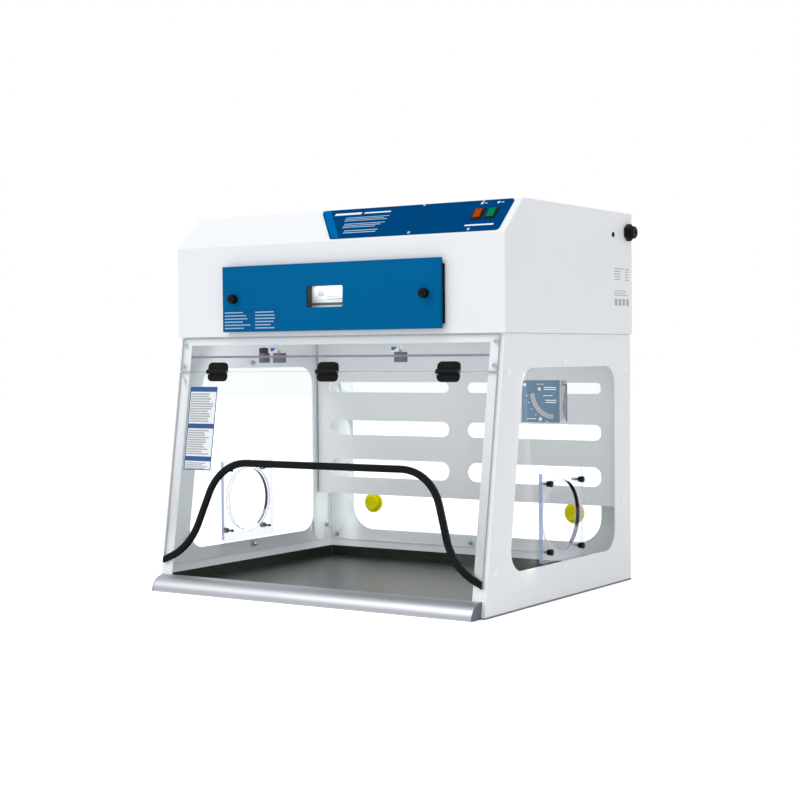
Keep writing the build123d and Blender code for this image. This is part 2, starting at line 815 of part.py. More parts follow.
def make_hinge_pin():
    """The pin of one hinge, about the origin."""
    return rod_x(-HINGE_WIDTH / 2, HINGE_WIDTH / 2, 0, 0, HINGE_PIN_RADIUS)


# Head

def head_profile(bottom):
    """Side outline of the head, as (y, z)."""
    return outline([
        (HEAD_FRONT, bottom),
        (HEAD_FRONT, BEND_Z),
        (HEAD_FRONT + SLANT_RUN, HEAD_TOP),
        (HEAD_REAR, HEAD_TOP),
        (HEAD_REAR, bottom),
    ])


def hatch_cutter(y0, y1):
    """The opening that the filter slides through."""
    half = HATCH_WIDTH / 2
    low = BASE_HEIGHT + HATCH_BOTTOM
    return block(-half, half, y0, y1, low, low + HATCH_HEIGHT)


def switch_cutter(x, gap):
    """The opening for one switch body through the control face."""
    half_x = SWITCH_WIDTH / 2 + gap
    half_y = SWITCH_LENGTH / 2 + gap
    hole = rectangle(x - half_x, x + half_x, SWITCH_UP - half_y, SWITCH_UP + half_y)
    return plane_slab(CONTROL_PLANE, hole, -2 * HEAD_SHEET, 2 * CONTROL_SHEET)


def make_head_shell():
    """Folded and welded shell: front, slanted face, top, back and sides."""
    shell = side_slab(head_profile(BASE_HEIGHT), -HEAD_X, HEAD_X)
    upper = shell.edges().filter_by(lambda edge: edge.center().Z > BASE_HEIGHT + 1)
    shell = fillet(upper, HEAD_RADIUS)
    inner = offset(
        head_profile(BASE_HEIGHT - 3 * HEAD_SHEET), amount=-HEAD_SHEET, kind=Kind.INTERSECTION
    )
    shell -= side_slab(inner, -HEAD_IN_X, HEAD_IN_X)
    shell -= hatch_cutter(HEAD_FRONT - 1, HEAD_IN_FRONT + 1)
    for x in SWITCH_X:
        shell -= switch_cutter(x, SWITCH_GAP)
    half_x = EXHAUST_WIDTH / 2
    half_y = EXHAUST_DEPTH / 2
    vent = soft_rectangle(-half_x, half_x, FAN_Y - half_y, FAN_Y + half_y, EXHAUST_RADIUS)
    shell -= flat_slab(vent, HEAD_TOP - HEAD_SHEET - 1, HEAD_TOP + 1)
    gland_y = HEAD_REAR - GLAND_BACK
    gland_z = BASE_HEIGHT + GLAND_Z
    hole = GLAND_SHANK_RADIUS + GLAND_GAP
    shell -= rod_x(HEAD_IN_X - 1, HEAD_X + 1, gland_y, gland_z, hole)
    plug_y = HEAD_REAR - SIDE_PLUG_BACK
    plug_z = BASE_HEIGHT + SIDE_PLUG_Z
    hole = SIDE_PLUG_SHANK_RADIUS + GLAND_GAP
    shell -= rod_x(HEAD_IN_X - 1, HEAD_X + 1, plug_y, plug_z, hole)
    return shell


def folded_deck(bottom):
    """A level sheet across the head with edges folded up."""
    top = bottom + HEAD_SHEET + FLOOR_FLANGE
    deck = block(-HEAD_IN_X, HEAD_IN_X, HEAD_IN_FRONT, HEAD_IN_REAR, bottom, top)
    return deck - block(
        -HEAD_IN_X + HEAD_SHEET, HEAD_IN_X - HEAD_SHEET,
        HEAD_IN_FRONT + HEAD_SHEET, HEAD_IN_REAR - HEAD_SHEET,
        bottom + HEAD_SHEET, top + 1,
    )


def make_head_floor():
    """Floor of the head, with the opening for the prefilter."""
    half_x = PREFILTER_WIDTH / 2
    half_y = PREFILTER_DEPTH / 2
    return folded_deck(BASE_HEIGHT) - block(
        -half_x, half_x, PREFILTER_Y - half_y, PREFILTER_Y + half_y,
        BASE_HEIGHT - 1, FLOOR_TOP + 1,
    )


def make_prefilter_mat():
    """Fibre mat that lies in the floor's opening."""
    half_x = PREFILTER_WIDTH / 2 - PREFILTER_GAP
    half_y = PREFILTER_DEPTH / 2 - PREFILTER_GAP
    return block(
        -half_x, half_x, PREFILTER_Y - half_y, PREFILTER_Y + half_y,
        BASE_HEIGHT, BASE_HEIGHT + PREFILTER_THICK,
    )


def slotted_plate(width, depth, border, columns, rows, bar, sheet):
    """A plate with a grid of plain slots, centred on the origin."""
    plate = Box(width, depth, sheet)
    pitch_x = (width - 2 * border + bar) / columns
    pitch_y = (depth - 2 * border + bar) / rows
    for place in GridLocations(pitch_x, pitch_y, columns, rows):
        plate -= place * Box(pitch_x - bar, pitch_y - bar, 2 * sheet)
    return plate


def make_prefilter_grid():
    """Grid under the prefilter, seen from inside the chamber."""
    width = PREFILTER_WIDTH + 2 * GRID_BORDER
    depth = PREFILTER_DEPTH + 2 * GRID_BORDER
    border = GRID_BORDER + GRID_BAR
    grid = slotted_plate(width, depth, border, GRID_COLUMNS, GRID_ROWS, GRID_BAR, GRID_SHEET)
    return Pos(0, PREFILTER_Y, BASE_HEIGHT - GRID_SHEET / 2) * grid


def make_filter_rail():
    """Right rail: a folded sheet that carries and guides the main filter."""
    edge = FILTER_WIDTH / 2
    inner = edge - RAIL_LEDGE
    guide = edge + RAIL_GAP
    foot = guide + RAIL_SHEET + RAIL_FOOT
    top = FILTER_BOTTOM
    section = outline([
        (inner, top - RAIL_SHEET),
        (guide, top - RAIL_SHEET),
        (guide, FLOOR_TOP),
        (foot, FLOOR_TOP),
        (foot, FLOOR_TOP + RAIL_SHEET),
        (guide + RAIL_SHEET, FLOOR_TOP + RAIL_SHEET),
        (guide + RAIL_SHEET, top + RAIL_GUIDE),
        (guide, top + RAIL_GUIDE),
        (guide, top),
        (inner, top),
    ])
    return front_slab(section, FILTER_FRONT, FILTER_FRONT + FILTER_DEPTH)


def make_filter_frame():
    """Box frame of the main filter."""
    half = FILTER_WIDTH / 2
    rear = FILTER_FRONT + FILTER_DEPTH
    frame = block(-half, half, FILTER_FRONT, rear, FILTER_BOTTOM, FILTER_TOP)
    return frame - block(
        -half + FILTER_FRAME, half - FILTER_FRAME,
        FILTER_FRONT + FILTER_FRAME, rear - FILTER_FRAME,
        FILTER_BOTTOM - 1, FILTER_TOP + 1,
    )


def make_filter_pleats():
    """Folded filter paper inside the frame, as one zigzag sheet."""
    half = FILTER_WIDTH / 2 - FILTER_FRAME
    low = FILTER_BOTTOM + PLEAT_INSET
    high = FILTER_TOP - PLEAT_INSET
    folds = int(4 * half // PLEAT_PITCH)
    step = 2 * half / folds
    rise = PLEAT_THICK * (high - low) / (2 * step)
    line = [(-half + turn * step, high if turn % 2 else low) for turn in range(folds + 1)]
    upper = [(x, z + rise) for x, z in line]
    lower = [(x, z - rise) for x, z in reversed(line)]
    front = FILTER_FRONT + FILTER_FRAME
    rear = FILTER_FRONT + FILTER_DEPTH - FILTER_FRAME
    zigzag = front_slab(outline(upper + lower), front, rear)
    return zigzag & block(-half, half, front, rear, low, high)


def make_filter_seal():
    """Foam seal between the main filter and the deck."""
    half = FILTER_WIDTH / 2
    rear = FILTER_FRONT + FILTER_DEPTH
    seal = block(-half, half, FILTER_FRONT, rear, FILTER_TOP, DECK_BOTTOM)
    return seal - block(
        -half + SEAL_WIDTH, half - SEAL_WIDTH,
        FILTER_FRONT + SEAL_WIDTH, rear - SEAL_WIDTH,
        FILTER_TOP - 1, DECK_BOTTOM + 1,
    )


# Fan

def make_fan_deck():
    """Deck over the filter with a drawn inlet ring for the fan."""
    deck = folded_deck(DECK_BOTTOM)
    top = DECK_TOP + INLET_RING
    outer = FAN_EYE_RADIUS - FAN_LIFT
    ring = rod_z(0, FAN_Y, DECK_BOTTOM, DECK_TOP, INLET_RADIUS)
    cone = Pos(0, FAN_Y, (DECK_TOP + top) / 2) * Cone(INLET_RADIUS, outer, top - DECK_TOP)
    bore = Pos(0, FAN_Y, (DECK_TOP + top) / 2) * Cone(
        INLET_RADIUS - INLET_WALL, outer - INLET_WALL, top - DECK_TOP
    )
    deck += ring + cone
    return deck - bore - rod_z(0, FAN_Y, DECK_BOTTOM - 1, DECK_TOP, INLET_RADIUS - INLET_WALL)


def fan_blade():
    """One backward-curved blade, drawn at z = 0."""
    inner = FAN_EYE_RADIUS
    outer = FAN_RADIUS - BLADE_THICK
    angle = radians(BLADE_SWEEP)
    mid_angle = angle * 0.38
    mid = (inner + outer) / 2
    curve = ThreePointArc(
        (inner, 0),
        (mid * cos(mid_angle), mid * sin(mid_angle)),
        (outer * cos(angle), outer * sin(angle)),
    )
    return extrude(trace(curve, line_width=BLADE_THICK), amount=BLADE_HEIGHT + FAN_DISC)


def make_fan_impeller():
    """Impeller: a shroud ring below, blades, and a disc with a hub above."""
    shroud = Cylinder(FAN_RADIUS, FAN_DISC) - Cylinder(FAN_EYE_RADIUS, 2 * FAN_DISC)
    wheel = Pos(0, 0, FAN_DISC / 2) * shroud
    blade = Pos(0, 0, FAN_DISC / 2) * fan_blade()
    for turn in range(BLADE_COUNT):
        wheel += Rot(0, 0, turn * 360 / BLADE_COUNT) * blade
    disc_low = FAN_DISC + BLADE_HEIGHT
    wheel += Pos(0, 0, disc_low + FAN_DISC / 2) * Cylinder(FAN_RADIUS, FAN_DISC)
    hub = BLADE_HEIGHT / 2
    wheel += Pos(0, 0, disc_low - hub / 2) * Cylinder(FAN_HUB_RADIUS, hub)
    wheel -= Pos(0, 0, disc_low) * Cylinder(SHAFT_RADIUS + SHAFT_GAP / 4, 3 * BLADE_HEIGHT)
    return Pos(0, FAN_Y, FAN_BOTTOM) * wheel


def make_fan_shaft():
    """Shaft from the motor down into the impeller's hub."""
    low = FAN_TOP - FAN_DISC - BLADE_HEIGHT / 2
    return rod_z(0, FAN_Y, low, MOTOR_BOTTOM + MOTOR_HEIGHT / 2, SHAFT_RADIUS)


def make_fan_motor():
    """Motor can with a blind bore for the shaft."""
    can = rod_z(0, FAN_Y, MOTOR_BOTTOM, MOTOR_TOP, MOTOR_RADIUS)
    can = chamfer(can.edges().sort_by(Axis.Z)[-1], BRACKET_SHEET)
    depth = MOTOR_BOTTOM + MOTOR_HEIGHT / 2 + SHAFT_GAP
    return can - rod_z(0, FAN_Y, MOTOR_BOTTOM - 1, depth, SHAFT_RADIUS + SHAFT_GAP)


def make_motor_bracket():
    """Folded bridge that carries the motor over the fan."""
    y0 = FAN_Y - BRACKET_WIDTH / 2
    y1 = FAN_Y + BRACKET_WIDTH / 2
    inner = BRACKET_HALF
    outer = inner + BRACKET_SHEET
    top = MOTOR_TOP + BRACKET_SHEET
    bridge = block(-outer, outer, y0, y1, DECK_TOP, top)
    bridge -= block(-inner, inner, y0 - 1, y1 + 1, DECK_TOP - 1, MOTOR_TOP)
    for side in (-1, 1):
        tip = side * (outer + BRACKET_FOOT)
        root = side * inner
        foot_top = DECK_TOP + BRACKET_SHEET
        bridge += block(min(tip, root), max(tip, root), y0, y1, DECK_TOP, foot_top)
    return bridge


def make_exhaust_grille():
    """Slotted plate under the opening in the top."""
    width = EXHAUST_WIDTH + 2 * GRILLE_LAP
    depth = EXHAUST_DEPTH + 2 * GRILLE_LAP
    border = 2 * GRILLE_LAP
    grille = slotted_plate(
        width, depth, border, GRILLE_COLUMNS, GRILLE_ROWS, GRILLE_BAR, GRILLE_SHEET
    )
    return Pos(0, FAN_Y, HEAD_TOP - HEAD_SHEET - GRILLE_SHEET / 2) * grille


# Filter door

DOOR_LOW = BASE_HEIGHT + DOOR_BOTTOM
DOOR_HIGH = DOOR_LOW + DOOR_HEIGHT
DOOR_FACE = HEAD_FRONT - DOOR_DEPTH
DOOR_INSIDE = DOOR_FACE + DOOR_SHEET
DOOR_SEAT = HEAD_FRONT - GASKET_THICK


def make_filter_door():
    """Blue pan-shaped door with a small window and two spindle holes."""
    half = DOOR_WIDTH / 2
    door = block(-half, half, DOOR_FACE, DOOR_SEAT, DOOR_LOW, DOOR_HIGH)
    door = fillet(door.faces().sort_by(Axis.Y)[0].edges(), DOOR_RADIUS)
    door -= block(
        -half + DOOR_SHEET, half - DOOR_SHEET, DOOR_INSIDE, DOOR_SEAT + 1,
        DOOR_LOW + DOOR_SHEET, DOOR_HIGH - DOOR_SHEET,
    )
    half_x = DOOR_WINDOW_WIDTH / 2
    half_z = DOOR_WINDOW_HEIGHT / 2
    z = BASE_HEIGHT + DOOR_WINDOW_Z
    opening = soft_rectangle(
        DOOR_WINDOW_X - half_x, DOOR_WINDOW_X + half_x, z - half_z, z + half_z, DOOR_WINDOW_RADIUS
    )
    door -= front_slab(opening, DOOR_FACE - 1, DOOR_INSIDE + 1)
    for side in (-1, 1):
        hole = SPINDLE_RADIUS + SPINDLE_GAP
        door -= rod_y(side * KNOB_X, DOOR_FACE - 1, DOOR_INSIDE + 1, BASE_HEIGHT + KNOB_Z, hole)
    return door


def make_door_pane():
    """Clear pane behind the door's window."""
    half_x = DOOR_WINDOW_WIDTH / 2 + DOOR_PANE_LAP
    half_z = DOOR_WINDOW_HEIGHT / 2 + DOOR_PANE_LAP
    z = BASE_HEIGHT + DOOR_WINDOW_Z
    return block(
        DOOR_WINDOW_X - half_x, DOOR_WINDOW_X + half_x,
        DOOR_INSIDE, DOOR_INSIDE + DOOR_PANE_SHEET, z - half_z, z + half_z,
    )


def make_door_gasket():
    """Black foam frame between the door and the head."""
    half = DOOR_WIDTH / 2 + GASKET_OVERHANG
    low = DOOR_LOW + GASKET_INSET
    high = DOOR_HIGH - GASKET_INSET - GASKET_OVERHANG
    ring = block(-half, half, DOOR_SEAT, HEAD_FRONT, low, high)
    width = GASKET_WIDTH
    return ring - block(
        -half + width, half - width, DOOR_SEAT - 1, HEAD_FRONT + 1,
        BASE_HEIGHT + HATCH_BOTTOM, high - width / 2,
    )


def make_door_knob():
    """Right knob with its spindle and the cam that grips behind the sheet."""
    z = BASE_HEIGHT + KNOB_Z
    face = DOOR_FACE - KNOB_COLLAR - KNOB_HEIGHT
    star = []
    for turn in range(2 * KNOB_FLUTES):
        angle = pi * turn / KNOB_FLUTES
        radius = KNOB_RADIUS - FLUTE_DEPTH * (turn % 2)
        star.append((KNOB_X + radius * cos(angle), z + radius * sin(angle)))
    grip = front_slab(outline(star), face, face + KNOB_HEIGHT)
    collar = rod_y(KNOB_X, face + KNOB_HEIGHT, DOOR_FACE - CAM_GAP, z, KNOB_COLLAR_RADIUS)
    cam_front = HEAD_IN_FRONT + CAM_GAP
    cam_rear = cam_front + CAM_THICK
    spindle = rod_y(KNOB_X, face + KNOB_HEIGHT, cam_rear, z, SPINDLE_RADIUS)
    half = CAM_WIDTH / 2
    cam = block(KNOB_X, KNOB_X + CAM_REACH, cam_front, cam_rear, z - half, z + half)
    return grip + collar + spindle + cam


# Control panel and switches

def make_control_panel():
    """Blue plate on the slanted face, with a slanted left end."""
    low = CONTROL_MARGIN
    high = SLANT_LENGTH - CONTROL_MARGIN
    plate = rounded([
        (CONTROL_LEFT_BOTTOM, low),
        (CONTROL_RIGHT, low),
        (CONTROL_RIGHT, high),
        (CONTROL_LEFT_TOP, high),
    ], CONTROL_RADIUS)
    panel = plane_slab(CONTROL_PLANE, plate, 0, CONTROL_SHEET)
    for x in SWITCH_X:
        panel -= switch_cutter(x, SWITCH_GAP)
    return panel


def make_switch_body(x):
    """Switch housing: a flange on the panel and a body with a well."""
    top = CONTROL_SHEET + BEZEL_THICK
    flange = Pos(0, 0, CONTROL_SHEET + BEZEL_THICK / 2) * Box(BEZEL_WIDTH, BEZEL_LENGTH, BEZEL_THICK)
    flange = chamfer(flange.faces().sort_by(Axis.Z)[-1].edges(), BEZEL_THICK / 3)
    deep = SWITCH_DEPTH + CONTROL_SHEET
    body = Pos(0, 0, CONTROL_SHEET - deep / 2) * Box(SWITCH_WIDTH, SWITCH_LENGTH, deep)
    well = Pos(0, 0, top - WELL_DEPTH / 2 + 1) * Box(
        ROCKER_WIDTH + 2 * ROCKER_GAP, ROCKER_LENGTH + 4 * ROCKER_GAP, WELL_DEPTH + 2
    )
    axle = ROCKER_WIDTH / 2 + AXLE_REACH + AXLE_GAP
    bore = Pos(0, 0, top) * rod_x(-axle, axle, 0, 0, AXLE_RADIUS + AXLE_GAP)
    housing = flange + body - well - Pos(0, 0, -AXLE_RADIUS - AXLE_REACH) * bore
    return CONTROL_PLANE * Pos(x, SWITCH_UP, 0) * housing


def make_rocker(x):
    """Rocker with a dished face, tilted to its off position."""
    half = ROCKER_LENGTH / 2
    drop = AXLE_RADIUS + AXLE_REACH
    rise = ROCKER_RISE + drop
    dish = ThreePointArc((-half, rise), (0, rise - ROCKER_DISH), (half, rise))
    root = ROCKER_LENGTH / 3
    rest = Polyline((half, rise), (half, 0), (root, -ROCKER_ROOT), (-root, -ROCKER_ROOT),
                    (-half, 0), (-half, rise))
    face = make_face(Curve() + [dish, rest])
    width = ROCKER_WIDTH / 2
    rocker = side_slab(face, -width, width)
    axle = width + AXLE_REACH
    rocker += rod_x(-axle, axle, 0, 0, AXLE_RADIUS)
    top = CONTROL_SHEET + BEZEL_THICK
    return CONTROL_PLANE * Pos(x, SWITCH_UP, top - drop) * Rot(ROCKER_TILT, 0, 0) * rocker


# Right side of the head

def make_power_gland():
    """Cord gland: a hexagon body, a ribbed cap and a threaded shank inside."""
    body = extrude(RegularPolygon(GLAND_FLATS / 2, 6, major_radius=False), amount=GLAND_HEX)
    body = chamfer(body.faces().sort_by(Axis.Z)[-1].edges(), GLAND_HEX / 8)
    cap = Pos(0, 0, GLAND_HEX + GLAND_CAP / 2) * Cylinder(GLAND_CAP_RADIUS, GLAND_CAP)
    cap = chamfer(cap.edges().sort_by(Axis.Z)[-1], GLAND_CAP / 4)
    shank = Pos(0, 0, -GLAND_SHANK / 2) * Cylinder(GLAND_SHANK_RADIUS, GLAND_SHANK)
    bore = Cylinder(GLAND_BORE_RADIUS, 4 * (GLAND_HEX + GLAND_CAP))
    gland = body + cap + shank - bore
    place = Pos(HEAD_X, HEAD_REAR - GLAND_BACK, BASE_HEIGHT + GLAND_Z)
    return place * Rot(0, 90, 0) * gland


def make_side_plug():
    """Small plug in the spare hole beside the gland."""
    head = Pos(0, 0, SIDE_PLUG_HEAD / 2) * Cylinder(SIDE_PLUG_RADIUS, SIDE_PLUG_HEAD)
    length = 2 * HEAD_SHEET
    plug = head + Pos(0, 0, -length / 2) * Cylinder(SIDE_PLUG_SHANK_RADIUS, length)
    place = Pos(HEAD_X, HEAD_REAR - SIDE_PLUG_BACK, BASE_HEIGHT + SIDE_PLUG_Z)
    return place * Rot(0, 90, 0) * plug


# Airflow gauge on the inside of the right window

GAUGE_TOP = BASE_HEIGHT - GAUGE_DROP
GAUGE_RIGHT = PANE_X
GAUGE_LEFT = GAUGE_RIGHT - GAUGE_WIDTH
GAUGE_BOTTOM = GAUGE_TOP - GAUGE_HEIGHT
GAUGE_BACK = GAUGE_Y + GAUGE_DEPTH
PIVOT_X = GAUGE_RIGHT - GAUGE_PIVOT_IN
PIVOT_Z = GAUGE_TOP - GAUGE_PIVOT_DOWN
POCKET_FRONT = GAUGE_Y + GAUGE_FACE
POCKET_BACK = GAUGE_BACK - GAUGE_WALL


def inlet_cutter(x0, x1):
    """The air slit at the gauge's side."""
    back = GAUGE_BACK - GAUGE_INLET_BACK
    front = back - GAUGE_INLET_WIDTH
    low = PIVOT_Z - GAUGE_POCKET_RADIUS + GAUGE_WALL
    return block(x0, x1, front, back, low, PIVOT_Z)


def make_gauge_case():
    """Clear case with a quarter-round pocket for the vane."""
    case = block(GAUGE_LEFT, GAUGE_RIGHT, POCKET_FRONT, GAUGE_BACK, GAUGE_BOTTOM, GAUGE_TOP)
    low = PIVOT_Z - GAUGE_POCKET_RADIUS
    roof = PIVOT_Z + 2 * VANE_EYE_RADIUS
    wall = GAUGE_RIGHT - GAUGE_WALL
    round_pocket = rod_y(PIVOT_X, POCKET_FRONT - 1, POCKET_BACK, PIVOT_Z, GAUGE_POCKET_RADIUS)
    limits = block(GAUGE_LEFT, wall, POCKET_FRONT - 1, POCKET_BACK, low, roof)
    case -= round_pocket & limits
    case -= block(PIVOT_X, wall, POCKET_FRONT - 1, POCKET_BACK, low, roof)
    case -= inlet_cutter(wall - 1, GAUGE_RIGHT + 1)
    case -= rod_y(PIVOT_X, POCKET_BACK - 1, GAUGE_BACK + 1, PIVOT_Z, GAUGE_PIN_RADIUS)
    vial = BUBBLE_LENGTH / 2
    x = GAUGE_LEFT + BUBBLE_X
    z = GAUGE_TOP - BUBBLE_DOWN
    case -= rod_x(x - vial, x + vial, POCKET_FRONT + BUBBLE_RADIUS, z, BUBBLE_RADIUS)
    return case


def make_gauge_face():
    """Dial plate with a curved slot and a window for the bubble level."""
    face = block(GAUGE_LEFT, GAUGE_RIGHT, GAUGE_Y, POCKET_FRONT, GAUGE_BOTTOM, GAUGE_TOP)
    outer = GAUGE_SCALE_RADIUS + GAUGE_SCALE_WIDTH / 2
    inner = GAUGE_SCALE_RADIUS - GAUGE_SCALE_WIDTH / 2
    ring = rod_y(PIVOT_X, GAUGE_Y - 1, POCKET_FRONT + 1, PIVOT_Z, outer)
    ring -= rod_y(PIVOT_X, GAUGE_Y - 2, POCKET_FRONT + 2, PIVOT_Z, inner)
    corner = block(
        PIVOT_X - outer, PIVOT_X, GAUGE_Y - 1, POCKET_FRONT + 1, PIVOT_Z - outer, PIVOT_Z
    )
    face -= ring & corner
    face -= rod_y(PIVOT_X, GAUGE_Y - 1, POCKET_FRONT + 1, PIVOT_Z, GAUGE_PIN_RADIUS)
    vial = BUBBLE_LENGTH / 2
    x = GAUGE_LEFT + BUBBLE_X
    z = GAUGE_TOP - BUBBLE_DOWN
    face -= block(
        x - vial, x + vial, GAUGE_Y - 1, POCKET_FRONT + 1, z - BUBBLE_RADIUS / 2, z + BUBBLE_RADIUS / 2
    )
    return face


def make_gauge_vane():
    """Light vane that hangs from the pin."""
    y0 = POCKET_FRONT + VANE_SIDE_GAP
    y1 = POCKET_BACK - VANE_SIDE_GAP
    half = VANE_THICK / 2
    vane = rod_y(PIVOT_X, y0, y1, PIVOT_Z, VANE_EYE_RADIUS)
    vane += block(PIVOT_X - half, PIVOT_X + half, y0, y1, PIVOT_Z - VANE_LENGTH, PIVOT_Z)
    return vane - rod_y(PIVOT_X, y0 - 1, y1 + 1, PIVOT_Z, GAUGE_PIN_RADIUS + VANE_GAP)


def make_gauge_pin():
    """Pin across the gauge on which the vane swings."""
    return rod_y(PIVOT_X, GAUGE_Y, GAUGE_BACK, PIVOT_Z, GAUGE_PIN_RADIUS)


def make_bubble_level():
    """Vial of the bubble level."""
    vial = BUBBLE_LENGTH / 2
    x = GAUGE_LEFT + BUBBLE_X
    z = GAUGE_TOP - BUBBLE_DOWN
    return rod_x(x - vial, x + vial, POCKET_FRONT + BUBBLE_RADIUS, z, BUBBLE_RADIUS)


# Clear strip across the top of the chamber

DEFLECTOR_TOP = BASE_HEIGHT - DEFLECTOR_DROP
DEFLECTOR_FRONT = front_y(DEFLECTOR_TOP) + lean_back(PANEL_SHEET)
DEFLECTOR_LOW = DEFLECTOR_TOP - DEFLECTOR_THICK


def make_deflector():
    """Level clear strip behind the posts."""
    return block(
        -PANE_X, PANE_X, DEFLECTOR_FRONT, DEFLECTOR_FRONT + DEFLECTOR_DEPTH,
        DEFLECTOR_LOW, DEFLECTOR_TOP,
    )


def make_clamp(x, width):
    """Clamp around the rear edge of the strip, open at the front."""
    half = width / 2
    low = DEFLECTOR_LOW - CLAMP_JAW
    high = DEFLECTOR_TOP + CLAMP_ROOF
    shape = rectangle(x - half, x + half, low, high)
    lower = shape.vertices().group_by(Axis.Y)[0]
    strip = DEFLECTOR_FRONT + DEFLECTOR_DEPTH
    back = strip + CLAMP_BACK
    jaw = front_slab(fillet(lower, CLAMP_RADIUS), back - CLAMP_DEPTH, back)
    jaw -= block(x - width, x + width, FRONT_Y, strip, DEFLECTOR_LOW, DEFLECTOR_TOP)
    return jaw


def make_hanger(x):
    """Folded strap from the top of a clamp to the front rail's flange."""
    half = HANGER_WIDTH / 2
    front = DEFLECTOR_FRONT + HANGER_BACK
    foot = front + HANGER_FOOT
    low = DEFLECTOR_TOP + CLAMP_ROOF
    high = BASE_HEIGHT - PANEL_SHEET
    strap = block(x - half, x + half, front, front + HANGER_SHEET, low, high)
    return strap + block(x - half, x + half, front, foot, high - HANGER_SHEET, high)


# Write all sub-parts

def main():
    os.makedirs("parts", exist_ok=True)

    save("base_pan", make_base_pan())
    panel = make_side_panel()
    save("side_panel_right", panel)
    save("side_panel_left", mirrored(panel))
    save("side_window_right", make_side_window(True))
    save("side_window_left", mirrored(make_side_window(False)))
    save("front_rail", make_front_rail())
    save("rear_panel", make_rear_panel())
    save("rear_window", make_rear_window())
    plug = make_rear_plug()
    save("rear_plug_right", plug)
    save("rear_plug_left", mirrored(plug))
    save("baffle", make_baffle())
    save("work_tray", make_work_tray())
    save("sill", make_sill())
    cap = make_sill_cap()
    save("sill_cap_right", cap)
    save("sill_cap_left", mirrored(cap))
    port = make_port_plate()
    save("port_plate_right", port)
    save("port_plate_left", mirrored(port))
    save("thumb_screws", *make_thumb_screws())

    save("sash_strip", make_sash_strip())
    save("sash", make_sash())
    save("sash_trim", make_sash_trim())
    save("hinge_upper_leaves", *place_hinges(make_hinge_leaf(True)))
    save("hinge_lower_leaves", *place_hinges(make_hinge_leaf(False)))
    save("hinge_pins", *place_hinges(make_hinge_pin()))

    save("head_shell", make_head_shell())
    save("head_floor", make_head_floor())
    save("prefilter_mat", make_prefilter_mat())
    save("prefilter_grid", make_prefilter_grid())
    rail = make_filter_rail()
    save("filter_rail_right", rail)
    save("filter_rail_left", mirrored(rail))
    save("filter_frame", make_filter_frame())
    save("filter_pleats", make_filter_pleats())
    save("filter_seal", make_filter_seal())
    save("fan_deck", make_fan_deck())
    save("fan_impeller", make_fan_impeller())
    save("fan_shaft", make_fan_shaft())
    save("fan_motor", make_fan_motor())
    save("motor_bracket", make_motor_bracket())
    save("exhaust_grille", make_exhaust_grille())

    save("filter_door", make_filter_door())
    save("door_pane", make_door_pane())
    save("door_gasket", make_door_gasket())
    knob = make_door_knob()
    save("door_knob_right", knob)
    save("door_knob_left", mirrored(knob))

    save("control_panel", make_control_panel())
    for name, x in zip(("left", "right"), SWITCH_X):
        save("switch_body_" + name, make_switch_body(x))
        save("rocker_" + name, make_rocker(x))
    save("power_gland", make_power_gland())
    save("side_plug", make_side_plug())

    save("gauge_case", make_gauge_case())
    save("gauge_face", make_gauge_face())
    save("gauge_vane", make_gauge_vane())
    save("gauge_pin", make_gauge_pin())
    save("bubble_level", make_bubble_level())
    save("deflector", make_deflector())
    clamps = [make_clamp(x, width) for x, width in zip(CLAMP_X, CLAMP_WIDTHS)]
    save("strip_clamps", *clamps)
    save("strip_hangers", *[make_hanger(x) for x in HANGER_X])


main()
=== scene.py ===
import math
import random

import bmesh
import bpy
from mathutils import Matrix, Vector


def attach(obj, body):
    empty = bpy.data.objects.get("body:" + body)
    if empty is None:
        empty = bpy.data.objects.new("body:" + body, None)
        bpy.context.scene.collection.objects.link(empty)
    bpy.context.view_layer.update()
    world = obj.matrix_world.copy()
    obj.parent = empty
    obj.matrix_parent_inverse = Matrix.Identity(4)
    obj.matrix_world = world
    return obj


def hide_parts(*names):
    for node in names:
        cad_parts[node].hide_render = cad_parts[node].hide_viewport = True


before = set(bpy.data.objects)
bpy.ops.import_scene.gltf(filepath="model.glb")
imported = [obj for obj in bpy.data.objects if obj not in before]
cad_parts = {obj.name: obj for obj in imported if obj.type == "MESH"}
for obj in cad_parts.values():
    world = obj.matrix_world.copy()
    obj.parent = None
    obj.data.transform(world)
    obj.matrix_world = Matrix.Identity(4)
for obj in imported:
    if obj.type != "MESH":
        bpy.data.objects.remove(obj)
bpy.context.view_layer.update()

# Lengths are millimetres up to Shape.make, which writes metres.
MM = 0.001
random.seed(7)

# The same sizes as in the part's source
BASE_DEPTH = 706.0
BASE_HEIGHT = 600.0
FRONT_LEAN = 92.0
SIDE_X = 451.5
PANE_X = 443.5
REAR_Y = 353.0
REAR_PANE_Y = 342.0
HEAD_FRONT = -268.0
HEAD_X = 457.0
BEND_Z = 815.0
SLANT_RUN = 81.0
SLANT_RISE = 77.0
SLANT_LENGTH = math.hypot(SLANT_RUN, SLANT_RISE)
HINGE_DROP = 85.0
HINGE_PITCH = 322.0
DOOR_FACE = -285.0
DOOR_WINDOW = (-57.0, 45.0, 664.0, 713.0)
KNOB_X = 266.0
KNOB_Z = 688.0
STRIP_THICK = 6.0
HINGE_FACE = 10.0
PORT_Y = -12.0
PORT_Z = 190.0
PORT_HALF = 100.0
PORT_CORNER = 4.0
PORT_RADIUS = 78.0
PORT_INNER = 448.5
PORT_OUTER = 457.5
PORT_SCREW_REACH = 76.0
CLAMPS = [(-213.0, 7.0), (-168.0, 10.5), (172.0, 10.5)]
CLAMP_LOW = 538.0
CLAMP_HIGH = 561.0
GAUGE_PIVOT = (428.5, 466.0)
GAUGE_RADIUS = 55.0
LEAN = math.atan2(FRONT_LEAN, BASE_HEIGHT)


